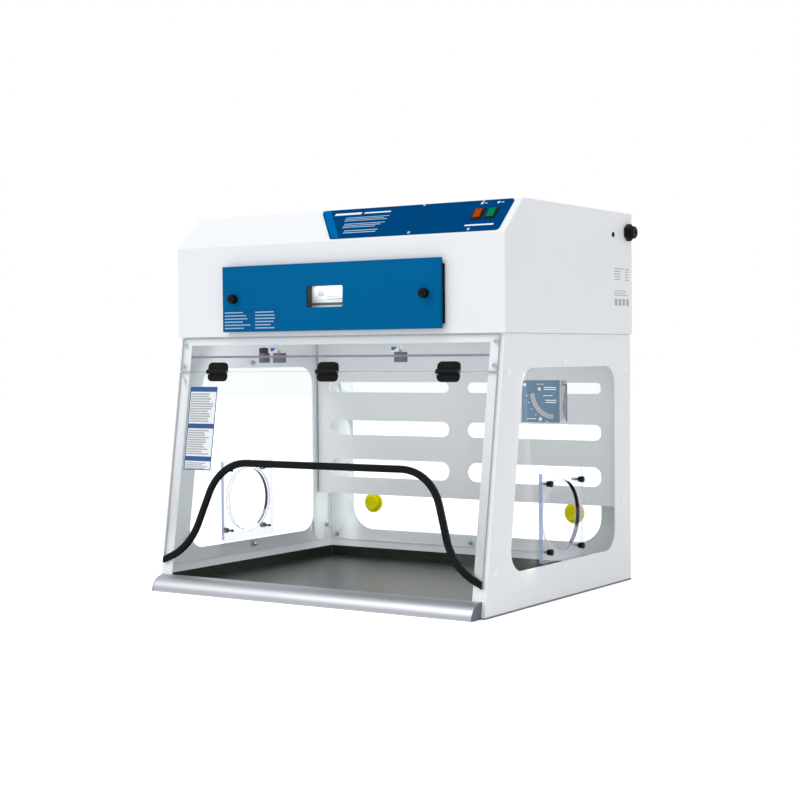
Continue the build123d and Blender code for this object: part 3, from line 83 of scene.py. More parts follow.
def front_y(z):
    """The leaning front of the base at a height."""
    return -BASE_DEPTH / 2 + FRONT_LEAN * z / BASE_HEIGHT


def local_frame(origin, across, up):
    """A frame whose third axis points out of the face."""
    x = Vector(across).normalized()
    y = Vector(up).normalized()
    z = x.cross(y)
    m = Matrix((x, y, z)).transposed().to_4x4()
    m.translation = Vector(origin)
    return m


SASH = local_frame((0, front_y(BASE_HEIGHT), BASE_HEIGHT), (1, 0, 0), (0, math.sin(LEAN), math.cos(LEAN)))
CONTROL = local_frame((0, HEAD_FRONT, BEND_Z), (1, 0, 0), (0, SLANT_RUN, SLANT_RISE))
RIGHT = local_frame((0, 0, 0), (0, 1, 0), (0, 0, 1))
LEFT = local_frame((0, 0, 0), (0, -1, 0), (0, 0, 1))
FRONT = local_frame((0, 0, 0), (1, 0, 0), (0, 0, 1))
REAR = local_frame((0, 0, 0), (-1, 0, 0), (0, 0, 1))
FLOOR = Matrix.Identity(4)


def at(base, x, y, out=0.0, turn=0.0):
    """A place on a face: across, up and out of it, turned about its outward axis."""
    return base @ Matrix.Translation((x, y, out)) @ Matrix.Rotation(turn, 4, "Z")


# Flat outlines

def arc(cx, cy, radius, start, end, steps):
    """Points on an arc, in degrees."""
    out = []
    for k in range(steps + 1):
        a = math.radians(start + (end - start) * k / steps)
        out.append((cx + radius * math.cos(a), cy + radius * math.sin(a)))
    return out


def round_rect(x0, x1, y0, y1, radius, steps=5):
    """A rounded rectangle, counter-clockwise."""
    r = radius
    return (
        arc(x1 - r, y0 + r, r, -90, 0, steps) + arc(x1 - r, y1 - r, r, 0, 90, steps)
        + arc(x0 + r, y1 - r, r, 90, 180, steps) + arc(x0 + r, y0 + r, r, 180, 270, steps)
    )


def inset_points(points, distance):
    """The outline moved inwards by an even distance."""
    n = len(points)
    out = []
    for k in range(n):
        a = Vector(points[k - 1])
        b = Vector(points[k])
        c = Vector(points[(k + 1) % n])
        d1 = (b - a).normalized()
        d2 = (c - b).normalized()
        n1 = Vector((-d1.y, d1.x))
        n2 = Vector((-d2.y, d2.x))
        s = n1 + n2
        k2 = max(s.length_squared, 0.2)
        out.append(tuple(b + s * (2 * distance / k2)))
    return out


def round_path(points, radii, steps=14):
    """An open line with its inner corners rounded."""
    out = [Vector(points[0])]
    for k in range(1, len(points) - 1):
        a, b, c = Vector(points[k - 1]), Vector(points[k]), Vector(points[k + 1])
        u = (a - b).normalized()
        v = (c - b).normalized()
        half = math.acos(max(-1, min(1, u.dot(v)))) / 2
        r = radii[k - 1]
        reach = r / math.tan(half)
        centre = b + (u + v).normalized() * (r / math.sin(half))
        p = b + u * reach
        q = b + v * reach
        a0 = math.atan2(p.y - centre.y, p.x - centre.x)
        a1 = math.atan2(q.y - centre.y, q.x - centre.x)
        turn = (a1 - a0 + math.pi) % (2 * math.pi) - math.pi
        for i in range(steps + 1):
            t = a0 + turn * i / steps
            out.append(centre + Vector((math.cos(t), math.sin(t))) * r)
    out.append(Vector(points[-1]))
    return out


class Shape:
    """Collects faces in millimetres and writes one mesh object."""

    def __init__(self):
        self.verts = []
        self.faces = []
        self.marks = []

    def add(self, place, verts, faces, mark=0):
        base = len(self.verts)
        self.verts += [place @ Vector(v) for v in verts]
        self.faces += [[base + i for i in f] for f in faces]
        self.marks += [mark] * len(faces)

    def loft(self, place, rings, mark=0, caps=True):
        """Closed rings of equal length joined in order."""
        n = len(rings[0])
        verts = [v for ring in rings for v in ring]
        faces = []
        for r in range(len(rings) - 1):
            for k in range(n):
                a = r * n + k
                b = r * n + (k + 1) % n
                faces.append((a, b, b + n, a + n))
        if caps:
            faces.append(tuple(reversed(range(n))))
            faces.append(tuple(range((len(rings) - 1) * n, len(rings) * n)))
        self.add(place, verts, faces, mark)

    def prism(self, place, points, w0, w1, bevel=0.0, mark=0):
        """A plate from an outline, with its outer rim bevelled."""
        rings = [[(x, y, w0) for x, y in points]]
        if bevel:
            inner = inset_points(points, bevel)
            mid = inset_points(points, bevel * 0.3)
            rings.append([(x, y, w1 - bevel) for x, y in points])
            rings.append([(x, y, w1 - bevel * 0.3) for x, y in mid])
            rings.append([(x, y, w1) for x, y in inner])
        else:
            rings.append([(x, y, w1) for x, y in points])
        self.loft(place, rings, mark)

    def lathe(self, place, profile, steps=28, mark=0):
        """A turned solid: (radius, height) pairs from bottom to top."""
        rings = []
        for radius, height in profile:
            r = max(radius, 0.02)
            ring = []
            for k in range(steps):
                a = 2 * math.pi * k / steps
                ring.append((r * math.cos(a), r * math.sin(a), height))
            rings.append(ring)
        self.loft(place, rings, mark)

    def dome(self, place, radius, height, skirt=0.4, steps=24, mark=0):
        """A low dome on a short skirt."""
        profile = [(radius, 0), (radius, skirt)]
        for k in range(1, 7):
            a = math.pi / 2 * k / 6
            profile.append((radius * math.cos(a), skirt + (height - skirt) * math.sin(a)))
        self.lathe(place, profile, steps, mark)

    def make(self, name, materials, body, replaces=(), sharp=35.0):
        mesh = bpy.data.meshes.new(name)
        mesh.from_pydata([v * MM for v in self.verts], [], self.faces)
        bm = bmesh.new()
        bm.from_mesh(mesh)
        for f, mark in zip(bm.faces, self.marks):
            f.material_index = mark
            f.smooth = True
        bmesh.ops.recalc_face_normals(bm, faces=bm.faces)
        limit = math.radians(sharp)
        for e in bm.edges:
            if len(e.link_faces) == 2:
                e.smooth = e.calc_face_angle(0.0) < limit
        bm.to_mesh(mesh)
        bm.free()
        obj = bpy.data.objects.new(name, mesh)
        bpy.context.scene.collection.objects.link(obj)
        for m in materials if isinstance(materials, (list, tuple)) else [materials]:
            mesh.materials.append(m)
        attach(obj, body)
        if replaces:
            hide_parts(*replaces)
        return obj


# Materials

def linear(r, g, b):
    """Screen colour, 0 to 255, as scene-linear."""
    out = []
    for v in (r, g, b):
        c = v / 255
        out.append(c / 12.92 if c <= 0.04045 else ((c + 0.055) / 1.055) ** 2.4)
    return tuple(out) + (1.0,)


def node(nt, kind, place=(0, 0), **values):
    """A new shader node with its settings."""
    n = nt.nodes.new(kind)
    n.location = place
    for key, value in values.items():
        setattr(n, key, value)
    return n


def ramp_range(nt, source, low, high, place):
    """The socket's 0 to 1 as low to high."""
    n = node(nt, "ShaderNodeMapRange", place)
    n.inputs["To Min"].default_value = low
    n.inputs["To Max"].default_value = high
    nt.links.new(source, n.inputs["Value"])
    return n.outputs["Result"]


def surface(name, colour, rough=(0.4, 0.5), vary=0.03, grain=600.0, bump=0.05, metallic=0.0,
            stretch=(1, 1, 1), specular=0.5, coat=0.0, coarse=14.0, depth=0.0002):
    """A Principled material: colour drift, roughness drift and fine relief from noise."""
    m = bpy.data.materials.new(name)
    m.use_nodes = True
    nt = m.node_tree
    nt.nodes.clear()
    out = node(nt, "ShaderNodeOutputMaterial", (900, 0))
    p = node(nt, "ShaderNodeBsdfPrincipled", (600, 0))
    nt.links.new(p.outputs[0], out.inputs[0])
    geo = node(nt, "ShaderNodeTexCoord", (-900, 0))
    scale = node(nt, "ShaderNodeMapping", (-700, 0))
    scale.inputs["Scale"].default_value = stretch
    nt.links.new(geo.outputs["Object"], scale.inputs["Vector"])
    slow = node(nt, "ShaderNodeTexNoise", (-450, 200))
    slow.inputs["Scale"].default_value = coarse
    slow.inputs["Detail"].default_value = 3.0
    nt.links.new(scale.outputs[0], slow.inputs["Vector"])
    fine = node(nt, "ShaderNodeTexNoise", (-450, -200))
    fine.inputs["Scale"].default_value = grain
    fine.inputs["Detail"].default_value = 2.0
    nt.links.new(scale.outputs[0], fine.inputs["Vector"])
    ramp = node(nt, "ShaderNodeValToRGB", (-150, 250))
    base = linear(*colour)
    ramp.color_ramp.elements[0].position = 0.3
    ramp.color_ramp.elements[1].position = 0.7
    ramp.color_ramp.elements[0].color = tuple(c * (1 - vary) for c in base[:3]) + (1,)
    ramp.color_ramp.elements[1].color = tuple(min(1, c * (1 + vary)) for c in base[:3]) + (1,)
    nt.links.new(slow.outputs["Fac"], ramp.inputs[0])
    nt.links.new(ramp.outputs[0], p.inputs["Base Color"])
    nt.links.new(ramp_range(nt, fine.outputs["Fac"], rough[0], rough[1], (150, 0)), p.inputs["Roughness"])
    p.inputs["Metallic"].default_value = metallic
    p.inputs["Specular IOR Level"].default_value = specular
    p.inputs["Coat Weight"].default_value = coat
    p.inputs["Coat Roughness"].default_value = 0.15
    if bump:
        b = node(nt, "ShaderNodeBump", (300, -300))
        b.inputs["Strength"].default_value = bump
        b.inputs["Distance"].default_value = depth
        nt.links.new(fine.outputs["Fac"], b.inputs["Height"])
        nt.links.new(b.outputs[0], p.inputs["Normal"])
    return m


def clear(name, tint, edge, haze, edge_haze, flat, shine=0.9, rough=0.04):
    """Clear sheet: see-through on its faces, denser where it is seen through its cut edges.

    flat is the direction that the sheet faces, in the object's own axes.
    """
    m = bpy.data.materials.new(name)
    m.use_nodes = True
    nt = m.node_tree
    nt.nodes.clear()
    out = node(nt, "ShaderNodeOutputMaterial", (1100, 0))
    mix = node(nt, "ShaderNodeMixShader", (900, 0))
    see = node(nt, "ShaderNodeBsdfTransparent", (600, 200))
    see.inputs[0].default_value = linear(*tint)
    p = node(nt, "ShaderNodeBsdfPrincipled", (600, 0))
    nt.links.new(see.outputs[0], mix.inputs[1])
    nt.links.new(p.outputs[0], mix.inputs[2])
    nt.links.new(mix.outputs[0], out.inputs[0])
    geo = node(nt, "ShaderNodeNewGeometry", (-700, 0))
    dot = node(nt, "ShaderNodeVectorMath", (-500, 0), operation="DOT_PRODUCT")
    dot.inputs[1].default_value = flat
    nt.links.new(geo.outputs["True Normal"], dot.inputs[0])
    size = node(nt, "ShaderNodeMath", (-300, 0), operation="ABSOLUTE")
    nt.links.new(dot.outputs["Value"], size.inputs[0])
    cut = node(nt, "ShaderNodeMapRange", (-100, 0))
    cut.inputs["From Min"].default_value = 0.95
    cut.inputs["From Max"].default_value = 0.6
    nt.links.new(size.outputs[0], cut.inputs["Value"])
    colour = node(nt, "ShaderNodeMix", (300, -200), data_type="RGBA")
    colour.inputs[6].default_value = linear(*tint)
    colour.inputs[7].default_value = linear(*edge)
    nt.links.new(cut.outputs[0], colour.inputs[0])
    nt.links.new(colour.outputs[2], p.inputs["Base Color"])
    noise = node(nt, "ShaderNodeTexNoise", (-100, -450))
    noise.inputs["Scale"].default_value = 9.0
    coords = node(nt, "ShaderNodeTexCoord", (-300, -450))
    nt.links.new(coords.outputs["Object"], noise.inputs["Vector"])
    polish = ramp_range(nt, noise.outputs["Fac"], rough, rough + 0.04, (300, -450))
    nt.links.new(polish, p.inputs["Roughness"])
    weight = node(nt, "ShaderNodeMapRange", (100, 300))
    weight.inputs["To Min"].default_value = haze
    weight.inputs["To Max"].default_value = edge_haze
    nt.links.new(cut.outputs[0], weight.inputs["Value"])
    fres = node(nt, "ShaderNodeFresnel", (-100, 500))
    fres.inputs["IOR"].default_value = 1.45
    outer = node(nt, "ShaderNodeMapRange", (-100, 700))
    outer.inputs["To Min"].default_value = shine
    outer.inputs["To Max"].default_value = 0.0
    nt.links.new(geo.outputs["Backfacing"], outer.inputs["Value"])
    part = node(nt, "ShaderNodeMath", (100, 500), operation="MULTIPLY")
    nt.links.new(outer.outputs[0], part.inputs[1])
    nt.links.new(fres.outputs[0], part.inputs[0])
    total = node(nt, "ShaderNodeMath", (400, 400), operation="ADD", use_clamp=True)
    nt.links.new(weight.outputs[0], total.inputs[0])
    nt.links.new(part.outputs[0], total.inputs[1])
    nt.links.new(total.outputs[0], mix.inputs[0])
    return m


SASH_OUT = (0, -math.cos(LEAN), math.sin(LEAN))
COAT = surface("powder_coat", (240, 242, 245), (0.36, 0.46), 0.012, 1300, 0.12, coarse=6)
# A darker copy of the powder coat for the baffle and head floor inside the hood: painted shade.
COAT_INSIDE_SHADED = surface("powder_coat_inside_painted_shade", (232, 234, 236), (0.4, 0.5), 0.012, 1300, 0.12, coarse=6)
CLEAR_SIDE = clear("clear_side", (254, 255, 255), (196, 206, 214), 0.008, 0.5, (1, 0, 0), 0.5)
CLEAR_REAR = clear("clear_rear", (254, 255, 255), (196, 206, 214), 0.008, 0.5, (0, 1, 0), 0.5)
CLEAR_SASH = clear("clear_sash", (254, 255, 255), (150, 158, 164), 0.01, 0.75, SASH_OUT, 0.5)
# The port plates' face haze of 0.2 whitens the clear plastic: a painted pale reflection.
CLEAR_PORT = clear("clear_port", (250, 252, 255), (112, 128, 172), 0.2, 0.6, (1, 0, 0), 0.5)
CLEAR_STRIP = clear("clear_strip", (240, 238, 244), (150, 126, 160), 0.02, 0.8, (0, 0, 1), 0.5)
YELLOW = surface("plug_yellow", (250, 240, 0), (0.4, 0.5), 0.05, 500, 0.08, specular=0.1)
TRAY = surface("tray_dark", (42, 47, 40), (0.26, 0.34), 0.06, 900, 0.1, metallic=0.3, coarse=5)
ALUMINIUM = surface("sill_metal", (172, 175, 180), (0.34, 0.46), 0.05, 260, 0.12, metallic=1.0,
                    stretch=(0.03, 1, 1), coarse=20)
SLATE = surface("cap_slate", (92, 100, 112), (0.45, 0.6), 0.06, 800, 0.12)
BLACK = surface("black_plastic", (15, 16, 18), (0.34, 0.5), 0.12, 900, 0.18, specular=0.1)
RUBBER = surface("black_rubber", (15, 18, 18), (0.5, 0.66), 0.12, 1100, 0.25, specular=0.09)
CAP_WHITE = surface("cap_white", (250, 251, 253), (0.25, 0.35), 0.01, 700, 0.05, coat=0.2)
# Mid grey on the base pan is painted shade: it stands for the dark contact line along the bottom edge of
# the base.
PAN_CONTACT_SHADE = surface("pan_painted_contact_shade", (118, 122, 128), (0.4, 0.55), 0.05, 900, 0.1)
# The port plates' edge materials are copies of the same clear plastic with painted light in their colours:
# painted reflection on the slate-blue front edge and the pale edges, painted shade on the dark purple rear
# arc of the bore, its mauve taper and the dark outline of the hole; the rest of the bore stays clear.
PORT_FRONT_REFLECTION = clear("port_front_painted_reflection", (170, 182, 210), (170, 182, 210), 0.6, 0.6, (1, 0, 0), 0.5)
PORT_EDGE = clear("port_edge", (236, 236, 242), (236, 236, 242), 0.12, 0.12, (1, 0, 0), 0.3)
PORT_REAR_RIM_SHADE = clear("port_rear_rim_painted_shade", (48, 22, 44), (48, 22, 44), 0.85, 0.85, (1, 0, 0), 0.4)
PORT_REAR_TAPER_SHADE = clear("port_rear_taper_painted_shade", (150, 140, 160), (150, 140, 160), 0.4, 0.4, (1, 0, 0), 0.4)
PORT_BORE = clear("port_bore", (250, 250, 254), (250, 250, 254), 0.05, 0.05, (1, 0, 0), 0.1)
PORT_OUTLINE_SHADE = clear("port_outline_painted_shade", (96, 98, 112), (96, 98, 112), 0.7, 0.7, (1, 0, 0), 0.4)
BLUE = surface("door_blue", (0, 100, 154), (0.4, 0.5), 0.03, 1300, 0.1, coarse=6, specular=0.02)
PANEL = surface("panel_blue", (0, 68, 122), (0.6, 0.7), 0.03, 900, 0.05, coarse=8, specular=0.0)
BAND = surface("panel_band", (0, 104, 166), (0.6, 0.7), 0.03, 900, 0.05, specular=0.0)
ORANGE = surface("rocker_orange", (176, 70, 0), (0.5, 0.6), 0.05, 600, 0.05, specular=0.0)
GREEN = surface("rocker_green", (0, 132, 82), (0.5, 0.6), 0.05, 600, 0.05, specular=0.0)
ZINC = surface("galvanised", (160, 164, 168), (0.3, 0.5), 0.12, 90, 0.05, metallic=0.9, coarse=60)
STEEL = surface("steel", (178, 180, 184), (0.22, 0.34), 0.06, 900, 0.06, metallic=1.0)
BOARD = surface("filter_board", (196, 172, 128), (0.55, 0.7), 0.1, 400, 0.2, stretch=(0.2, 1, 1), coarse=40)
PAPER = surface("filter_paper", (240, 238, 230), (0.8, 0.9), 0.03, 1500, 0.3)
FIBRE = surface("mat_fibre", (236, 238, 240), (0.85, 0.95), 0.05, 700, 0.8, depth=0.0008)
FOAM = surface("foam", (38, 39, 41), (0.8, 0.95), 0.15, 900, 0.6, depth=0.0004)
FAN = surface("fan_black", (34, 35, 37), (0.4, 0.55), 0.1, 700, 0.15)
GAUGE_BODY = surface("gauge_case", (206, 208, 214), (0.2, 0.3), 0.04, 700, 0.05, coat=0.3)
GAUGE_FACE = surface("gauge_face", (76, 114, 142), (0.3, 0.4), 0.04, 700, 0.05)
VIAL = surface("vial_green", (196, 214, 60), (0.08, 0.15), 0.06, 300, 0.02, coat=0.6)
PRINT_WHITE = surface("print_white", (236, 240, 244), (0.4, 0.5), 0.02, 900, 0.04)
PRINT_PALE = surface("print_pale", (158, 190, 214), (0.4, 0.5), 0.03, 900, 0.04)
PRINT_GREY = surface("print_grey", (168, 174, 180), (0.45, 0.55), 0.03, 900, 0.04)
PRINT_DARK = surface("print_dark", (70, 84, 100), (0.4, 0.5), 0.03, 900, 0.04)
LABEL = surface("label_white", (238, 241, 243), (0.4, 0.55), 0.01, 1100, 0.05)
DOOR_FIELD = surface("door_field", (0, 90, 144), (0.4, 0.5), 0.03, 1300, 0.05, specular=0.06)
LABEL_BLUE = surface("label_blue", (0, 80, 138), (0.35, 0.5), 0.03, 900, 0.05)
GAUGE_SCALE = surface("gauge_scale", (178, 180, 184), (0.4, 0.5), 0.04, 700, 0.05)
# Dark purple for a slit beside the gauge: painted shade.
SLIT_SHADE = surface("slit_painted_shade", (54, 26, 66), (0.5, 0.6), 0.1, 600, 0.05)

NODE_MATERIALS = {
    PAN_CONTACT_SHADE: ["base_pan"],
    COAT: ["strip_hangers", "front_rail", "side_panel_right", "side_panel_left", "rear_panel", "head_shell",
           "prefilter_grid", "exhaust_grille"],
    COAT_INSIDE_SHADED: ["baffle", "head_floor"],
    CLEAR_SIDE: ["side_window_right", "side_window_left"],
    CLEAR_REAR: ["rear_window", "door_pane"],
    CLEAR_SASH: ["sash", "sash_strip"],
    CLEAR_PORT: ["port_plate_right", "port_plate_left"],
    CLEAR_STRIP: ["deflector"],
    YELLOW: ["rear_plug_right", "rear_plug_left"],
    TRAY: ["work_tray"],
    ALUMINIUM: ["sill"],
    SLATE: ["sill_cap_right", "sill_cap_left", "strip_clamps"],
    BLACK: ["hinge_upper_leaves", "hinge_lower_leaves", "switch_body_left", "switch_body_right",
            "power_gland", "side_plug"],
    RUBBER: ["door_gasket"],
    BLUE: ["filter_door"],
    PANEL: ["control_panel"],
    ORANGE: ["rocker_left"],
    GREEN: ["rocker_right"],
    ZINC: ["filter_rail_right", "filter_rail_left", "fan_deck", "motor_bracket"],
    STEEL: ["hinge_pins", "fan_shaft", "gauge_vane", "gauge_pin"],
    BOARD: ["filter_frame"],
    PAPER: ["filter_pleats"],
    FIBRE: ["prefilter_mat"],
    FOAM: ["filter_seal"],
    FAN: ["fan_impeller", "fan_motor"],
    GAUGE_BODY: ["gauge_case"],
    GAUGE_FACE: ["gauge_face"],
    VIAL: ["bubble_level"],
}
for material, names in NODE_MATERIALS.items():
    for name in names:
        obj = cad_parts[name]
        obj.data.materials.clear()
        obj.data.materials.append(material)


# Camera at the photograph's viewpoint

def make_camera():
    """The camera that was solved from the photograph, angles in radians and places in metres."""
    picture_width = 800
    focal_pixels = 1621.43
    yaw, pitch, roll = 0.5832, 0.0281, -0.0081
    forward = Vector((-math.sin(yaw) * math.cos(pitch), math.cos(yaw) * math.cos(pitch), -math.sin(pitch)))
    right = Vector((math.cos(yaw), math.sin(yaw), 0))
    up = right.cross(forward)
    turned_right = right * math.cos(roll) + up * math.sin(roll)
    turned_up = up * math.cos(roll) - right * math.sin(roll)
    data = bpy.data.cameras.new("view")
    data.sensor_width = 36.0
    data.lens = focal_pixels / picture_width * data.sensor_width
    data.clip_end = 60.0
    cam = bpy.data.objects.new("view", data)
    m = Matrix((turned_right, turned_up, -forward)).transposed().to_4x4()
    m.translation = Vector((2.16056, -3.25981, 0.55528))
    cam.matrix_world = m
    bpy.context.scene.collection.objects.link(cam)
    bpy.context.scene.camera = cam


make_camera()


# Floor, world and lamps

def seen_directly(nt, x, y):
    """One for rays from the camera, from a reflection or through clear sheet, else zero."""
    path = node(nt, "ShaderNodeLightPath", (x, y))
    glossy = node(nt, "ShaderNodeMath", (x + 200, y), operation="MAXIMUM")
    either = node(nt, "ShaderNodeMath", (x + 400, y), operation="MAXIMUM")
    nt.links.new(path.outputs["Is Camera Ray"], glossy.inputs[0])
    nt.links.new(path.outputs["Is Glossy Ray"], glossy.inputs[1])
    nt.links.new(glossy.outputs[0], either.inputs[0])
    nt.links.new(path.outputs["Is Transmission Ray"], either.inputs[1])
    return either.outputs[0]


def make_floor():
    """A pale floor that glows a little where it is seen, so that it fades into the backdrop."""
    mesh = bpy.data.meshes.new("floor")
    reach = 14.0
    corners = [(-reach, -reach, 0), (reach, -reach, 0), (reach, reach, 0), (-reach, reach, 0)]
    mesh.from_pydata(corners, [], [(0, 1, 2, 3)])
    floor = bpy.data.objects.new("floor", mesh)
    bpy.context.scene.collection.objects.link(floor)
    m = bpy.data.materials.new("floor_pale")
    m.use_nodes = True
    nt = m.node_tree
    nt.nodes.clear()
    out = node(nt, "ShaderNodeOutputMaterial", (800, 0))
    add = node(nt, "ShaderNodeAddShader", (600, 0))
    diffuse = node(nt, "ShaderNodeBsdfDiffuse", (300, 100))
    diffuse.inputs[0].default_value = (0.86, 0.865, 0.875, 1)
    glow = node(nt, "ShaderNodeEmission", (300, -100))
    strength = node(nt, "ShaderNodeMath", (150, -200), operation="MULTIPLY")
    strength.inputs[1].default_value = 0.5
    nt.links.new(seen_directly(nt, -400, -200), strength.inputs[0])
    nt.links.new(strength.outputs[0], glow.inputs["Strength"])
    nt.links.new(diffuse.outputs[0], add.inputs[0])
    nt.links.new(glow.outputs[0], add.inputs[1])
    nt.links.new(add.outputs[0], out.inputs[0])
    mesh.materials.append(m)


def make_world():
    """A soft white sky, plain white where it is seen."""
    world = bpy.data.worlds.new("world")
    bpy.context.scene.world = world
    world.use_nodes = True
    nt = world.node_tree
    nt.nodes.clear()
    out = node(nt, "ShaderNodeOutputWorld", (600, 0))
    mix = node(nt, "ShaderNodeMixShader", (400, 0))
    soft = node(nt, "ShaderNodeBackground", (100, 100))
    soft.inputs[0].default_value = (0.985, 0.992, 1.0, 1)
    soft.inputs[1].default_value = 0.78
    white = node(nt, "ShaderNodeBackground", (100, -100))
    white.inputs[0].default_value = (1, 1, 1, 1)
    nt.links.new(seen_directly(nt, -500, 0), mix.inputs[0])
    nt.links.new(soft.outputs[0], mix.inputs[1])
    nt.links.new(white.outputs[0], mix.inputs[2])
    nt.links.new(mix.outputs[0], out.inputs[0])


def make_lamps():
    """One broad sun, and soft lamps inside that stand for the light that the clear sides let in."""
    sun = bpy.data.lights.new("key", "SUN")
    sun.energy = 0.95
    sun.angle = math.radians(35)
    lamp = bpy.data.objects.new("key", sun)
    lamp.rotation_euler = Vector((-0.40, -0.55, 0.76)).to_track_quat("Z", "Y").to_euler()
    bpy.context.scene.collection.objects.link(lamp)

    # Name, place, direction away from which it shines, width, depth and watts
    inside = [
        ("inside_top", (0.0, -0.17, 0.57), (0, -0.72, 0.69), 0.78, 0.10, 0.75),
        ("inside_right", (0.335, -0.02, 0.30), (1.0, 0.9, 0.1), 0.40, 0.42, 1.0),
        ("behind_baffle", (0.0, 0.315, 0.575), (0, 0, 1), 0.80, 0.03, 0.35),
        ("rear_left_gap", (-0.366, 0.293, 0.30), (1, -0.45, 0), 0.012, 0.5, 0.1),
        ("door_window", (-0.008, -0.272, 0.711), (0, -0.5, 0.86), 0.09, 0.008, 0.03),
    ]
    for name, place, away, width, depth, power in inside:
        area = bpy.data.lights.new(name, "AREA")
        area.shape = "RECTANGLE"
        area.size = width
        area.size_y = depth
        area.energy = power
        lamp = bpy.data.objects.new(name, area)
        lamp.location = place
        lamp.rotation_euler = Vector(away).to_track_quat("Z", "Y").to_euler()
        lamp.visible_camera = False
        lamp.visible_glossy = False
        lamp.visible_transmission = False
        bpy.context.scene.collection.objects.link(lamp)


make_floor()
make_world()
make_lamps()
bpy.context.scene.view_settings.view_transform = "Standard"


# Fasteners

SIDE_BOLTS = [
    (front_y(94) + 24, 95), (4, 72), (320, 92),
    (front_y(518) + 24, 518), (5, 537.5), (319, 518), (304, 200),
]
REAR_BOLTS = [(-425, 66), (0, 66), (425, 66), (-425, 538), (0, 538), (425, 538)]


def acorn(shape, place):
    """A hexagon nut with a domed end."""
    corners = [math.radians(a) for a in range(0, 360, 60)]
    hexagon = [(4.6 * math.cos(a), 4.6 * math.sin(a)) for a in corners]
    shape.prism(place, hexagon, 0, 4.2, 0.5)
    shape.dome(at(place, 0, 0, 4.1), 3.9, 4.4, 0.6, 18)


def bolt(caps, nuts, out, inward):
    """A domed cap with its washer outside, and an acorn nut with its washer inside."""
    caps.lathe(out, [(9.4, 0), (9.4, 0.6), (8.8, 1.0)], 30)
    caps.dome(at(out, 0, 0, 0.9), 8.2, 5.4, 0.6, 30)
    nuts.lathe(inward, [(6.0, 0), (6.0, 0.7), (5.7, 0.9)], 22)
    acorn(nuts, at(inward, 0, 0, 0.8))


def make_bolts():
    """The bolts that hold the side and rear windows."""
    caps = Shape()
    nuts = Shape()
    for side, base in ((1, RIGHT), (-1, LEFT)):
        for y, z in SIDE_BOLTS:
            out = at(base, side * y, z, SIDE_X)
            inward = local_frame((side * PANE_X, y, z), (0, -side, 0), (0, 0, 1))
            bolt(caps, nuts, out, inward)
    for x, z in REAR_BOLTS:
        face = REAR_Y if abs(x) > 400 else REAR_Y - 3
        out = at(REAR, -x, z, face)
        inward = local_frame((x, REAR_PANE_Y, z), (1, 0, 0), (0, 0, 1))
        bolt(caps, nuts, out, inward)
    caps.make("bolt_caps", CAP_WHITE, "hood")
    nuts.make("acorn_nuts", STEEL, "hood")


def slotted(shape, place, radius, turn, height=1.6):
    """A low slotted screw head, as two half domes either side of a slot."""
    for half in (0, 180):
        pts = [(p[0], p[1]) for p in arc(0, 0, radius, half + 8, half + 172, 12)]
        shape.prism(at(place, 0, 0, 0, turn), pts, 0, height, 0.45)
    floor = [(p[0], p[1]) for p in arc(0, 0, radius * 0.97, 0, 345, 23)]
    shape.prism(place, floor, 0, height * 0.45)


def make_strip_screws():
    """Socket screws that hold the fixed clear strip to the posts."""
    strip = Shape()
    for side in (-1, 1):
        for down in (18.9, 70.9):
            place = at(SASH, side * 433.6, -down, STRIP_THICK)
            strip.lathe(place, [(5.6, 0), (5.6, 0.4), (5.2, 0.7)], 24)
            strip.dome(at(place, 0, 0, 0.6), 4.3, 2.4, 0.4, 22)
            socket = [(1.4 * math.cos(math.radians(a)), 1.4 * math.sin(math.radians(a)))
                      for a in range(0, 360, 60)]
            strip.prism(at(place, 0, 0, 0.6), socket, 2.2, 2.45, 0, 1)
    strip.make("strip_screws", [STEEL, BLACK], "hood")


def make_panel_screws():
    """Slotted screws of the control panel."""
    panel = Shape()
    for (x, up), turn in zip([(208.5, 104.5), (362.5, 104.5), (210, 9), (363, 9)], (0.2, 0.9, -0.3, 0.6)):
        slotted(panel, at(CONTROL, x, up, 2.0), 3.8, turn)
    panel.make("panel_screws", STEEL, "hood")


def make_hinge_screws():
    """Screws and flat black pads of the hinge leaves, above and below the pin line."""
    for name, body, sign in (("hinge_screws_upper", "hood", 1), ("hinge_screws_lower", "sash", -1)):
        heads = Shape()
        for step in (-1, 0, 1):
            for dx in (-19, 19):
                place = at(SASH, step * HINGE_PITCH + dx, -HINGE_DROP + sign * 15.0, HINGE_FACE)
                heads.lathe(place, [(3.4, 0), (3.4, 0.3), (3.0, 0.8), (1.6, 0.9), (1.5, 0.5)], 20)
            low, high = (-21, -1.7) if sign < 0 else (1.7, 21)
            pad = round_rect(-27, 27, low, high, 4, 4)
            heads.prism(at(SASH, step * HINGE_PITCH, -HINGE_DROP), pad, 6.02, 6.4)
        heads.make(name, BLACK, body)


make_bolts()
make_strip_screws()
make_panel_screws()
make_hinge_screws()


# Port plates

def square_reach(angle, half, radius):
    """Distance from the middle of a rounded square to its rim, at an angle."""
    x = abs(math.cos(angle))
    y = abs(math.sin(angle))
    if x < y:
        x, y = y, x
    if half * y / x <= half - radius:
        return half / x
    c = half - radius
    mid = c * (x + y)
    return mid + math.sqrt(mid * mid - 2 * c * c + radius * radius)


def port_mark(row, degree):
    """Which of the plate's materials a face has, from its ring and its angle; the angle sets where the
    painted shade and painted reflection fall.
    """
    face, front_reflection, edge, rim, taper_shade, line, bore = range(7)
    # Rows 0 and 1 are the outer edge, with painted reflection on the front edge between 135 and 225
    # degrees.
    if row in (0, 1):
        return front_reflection if 135 <= degree < 225 else edge
    # Row 3 is the hole's outline in painted shade.
    if row == 3:
        return line
    if row != 4:
        return face
    # Row 4 is the bore: painted shade on its rear arc, tapering off from 335 down to 300 degrees, and clear
    # elsewhere.
    if degree < 72 or degree >= 335:
        return rim
    return taper_shade if degree >= 300 else bore


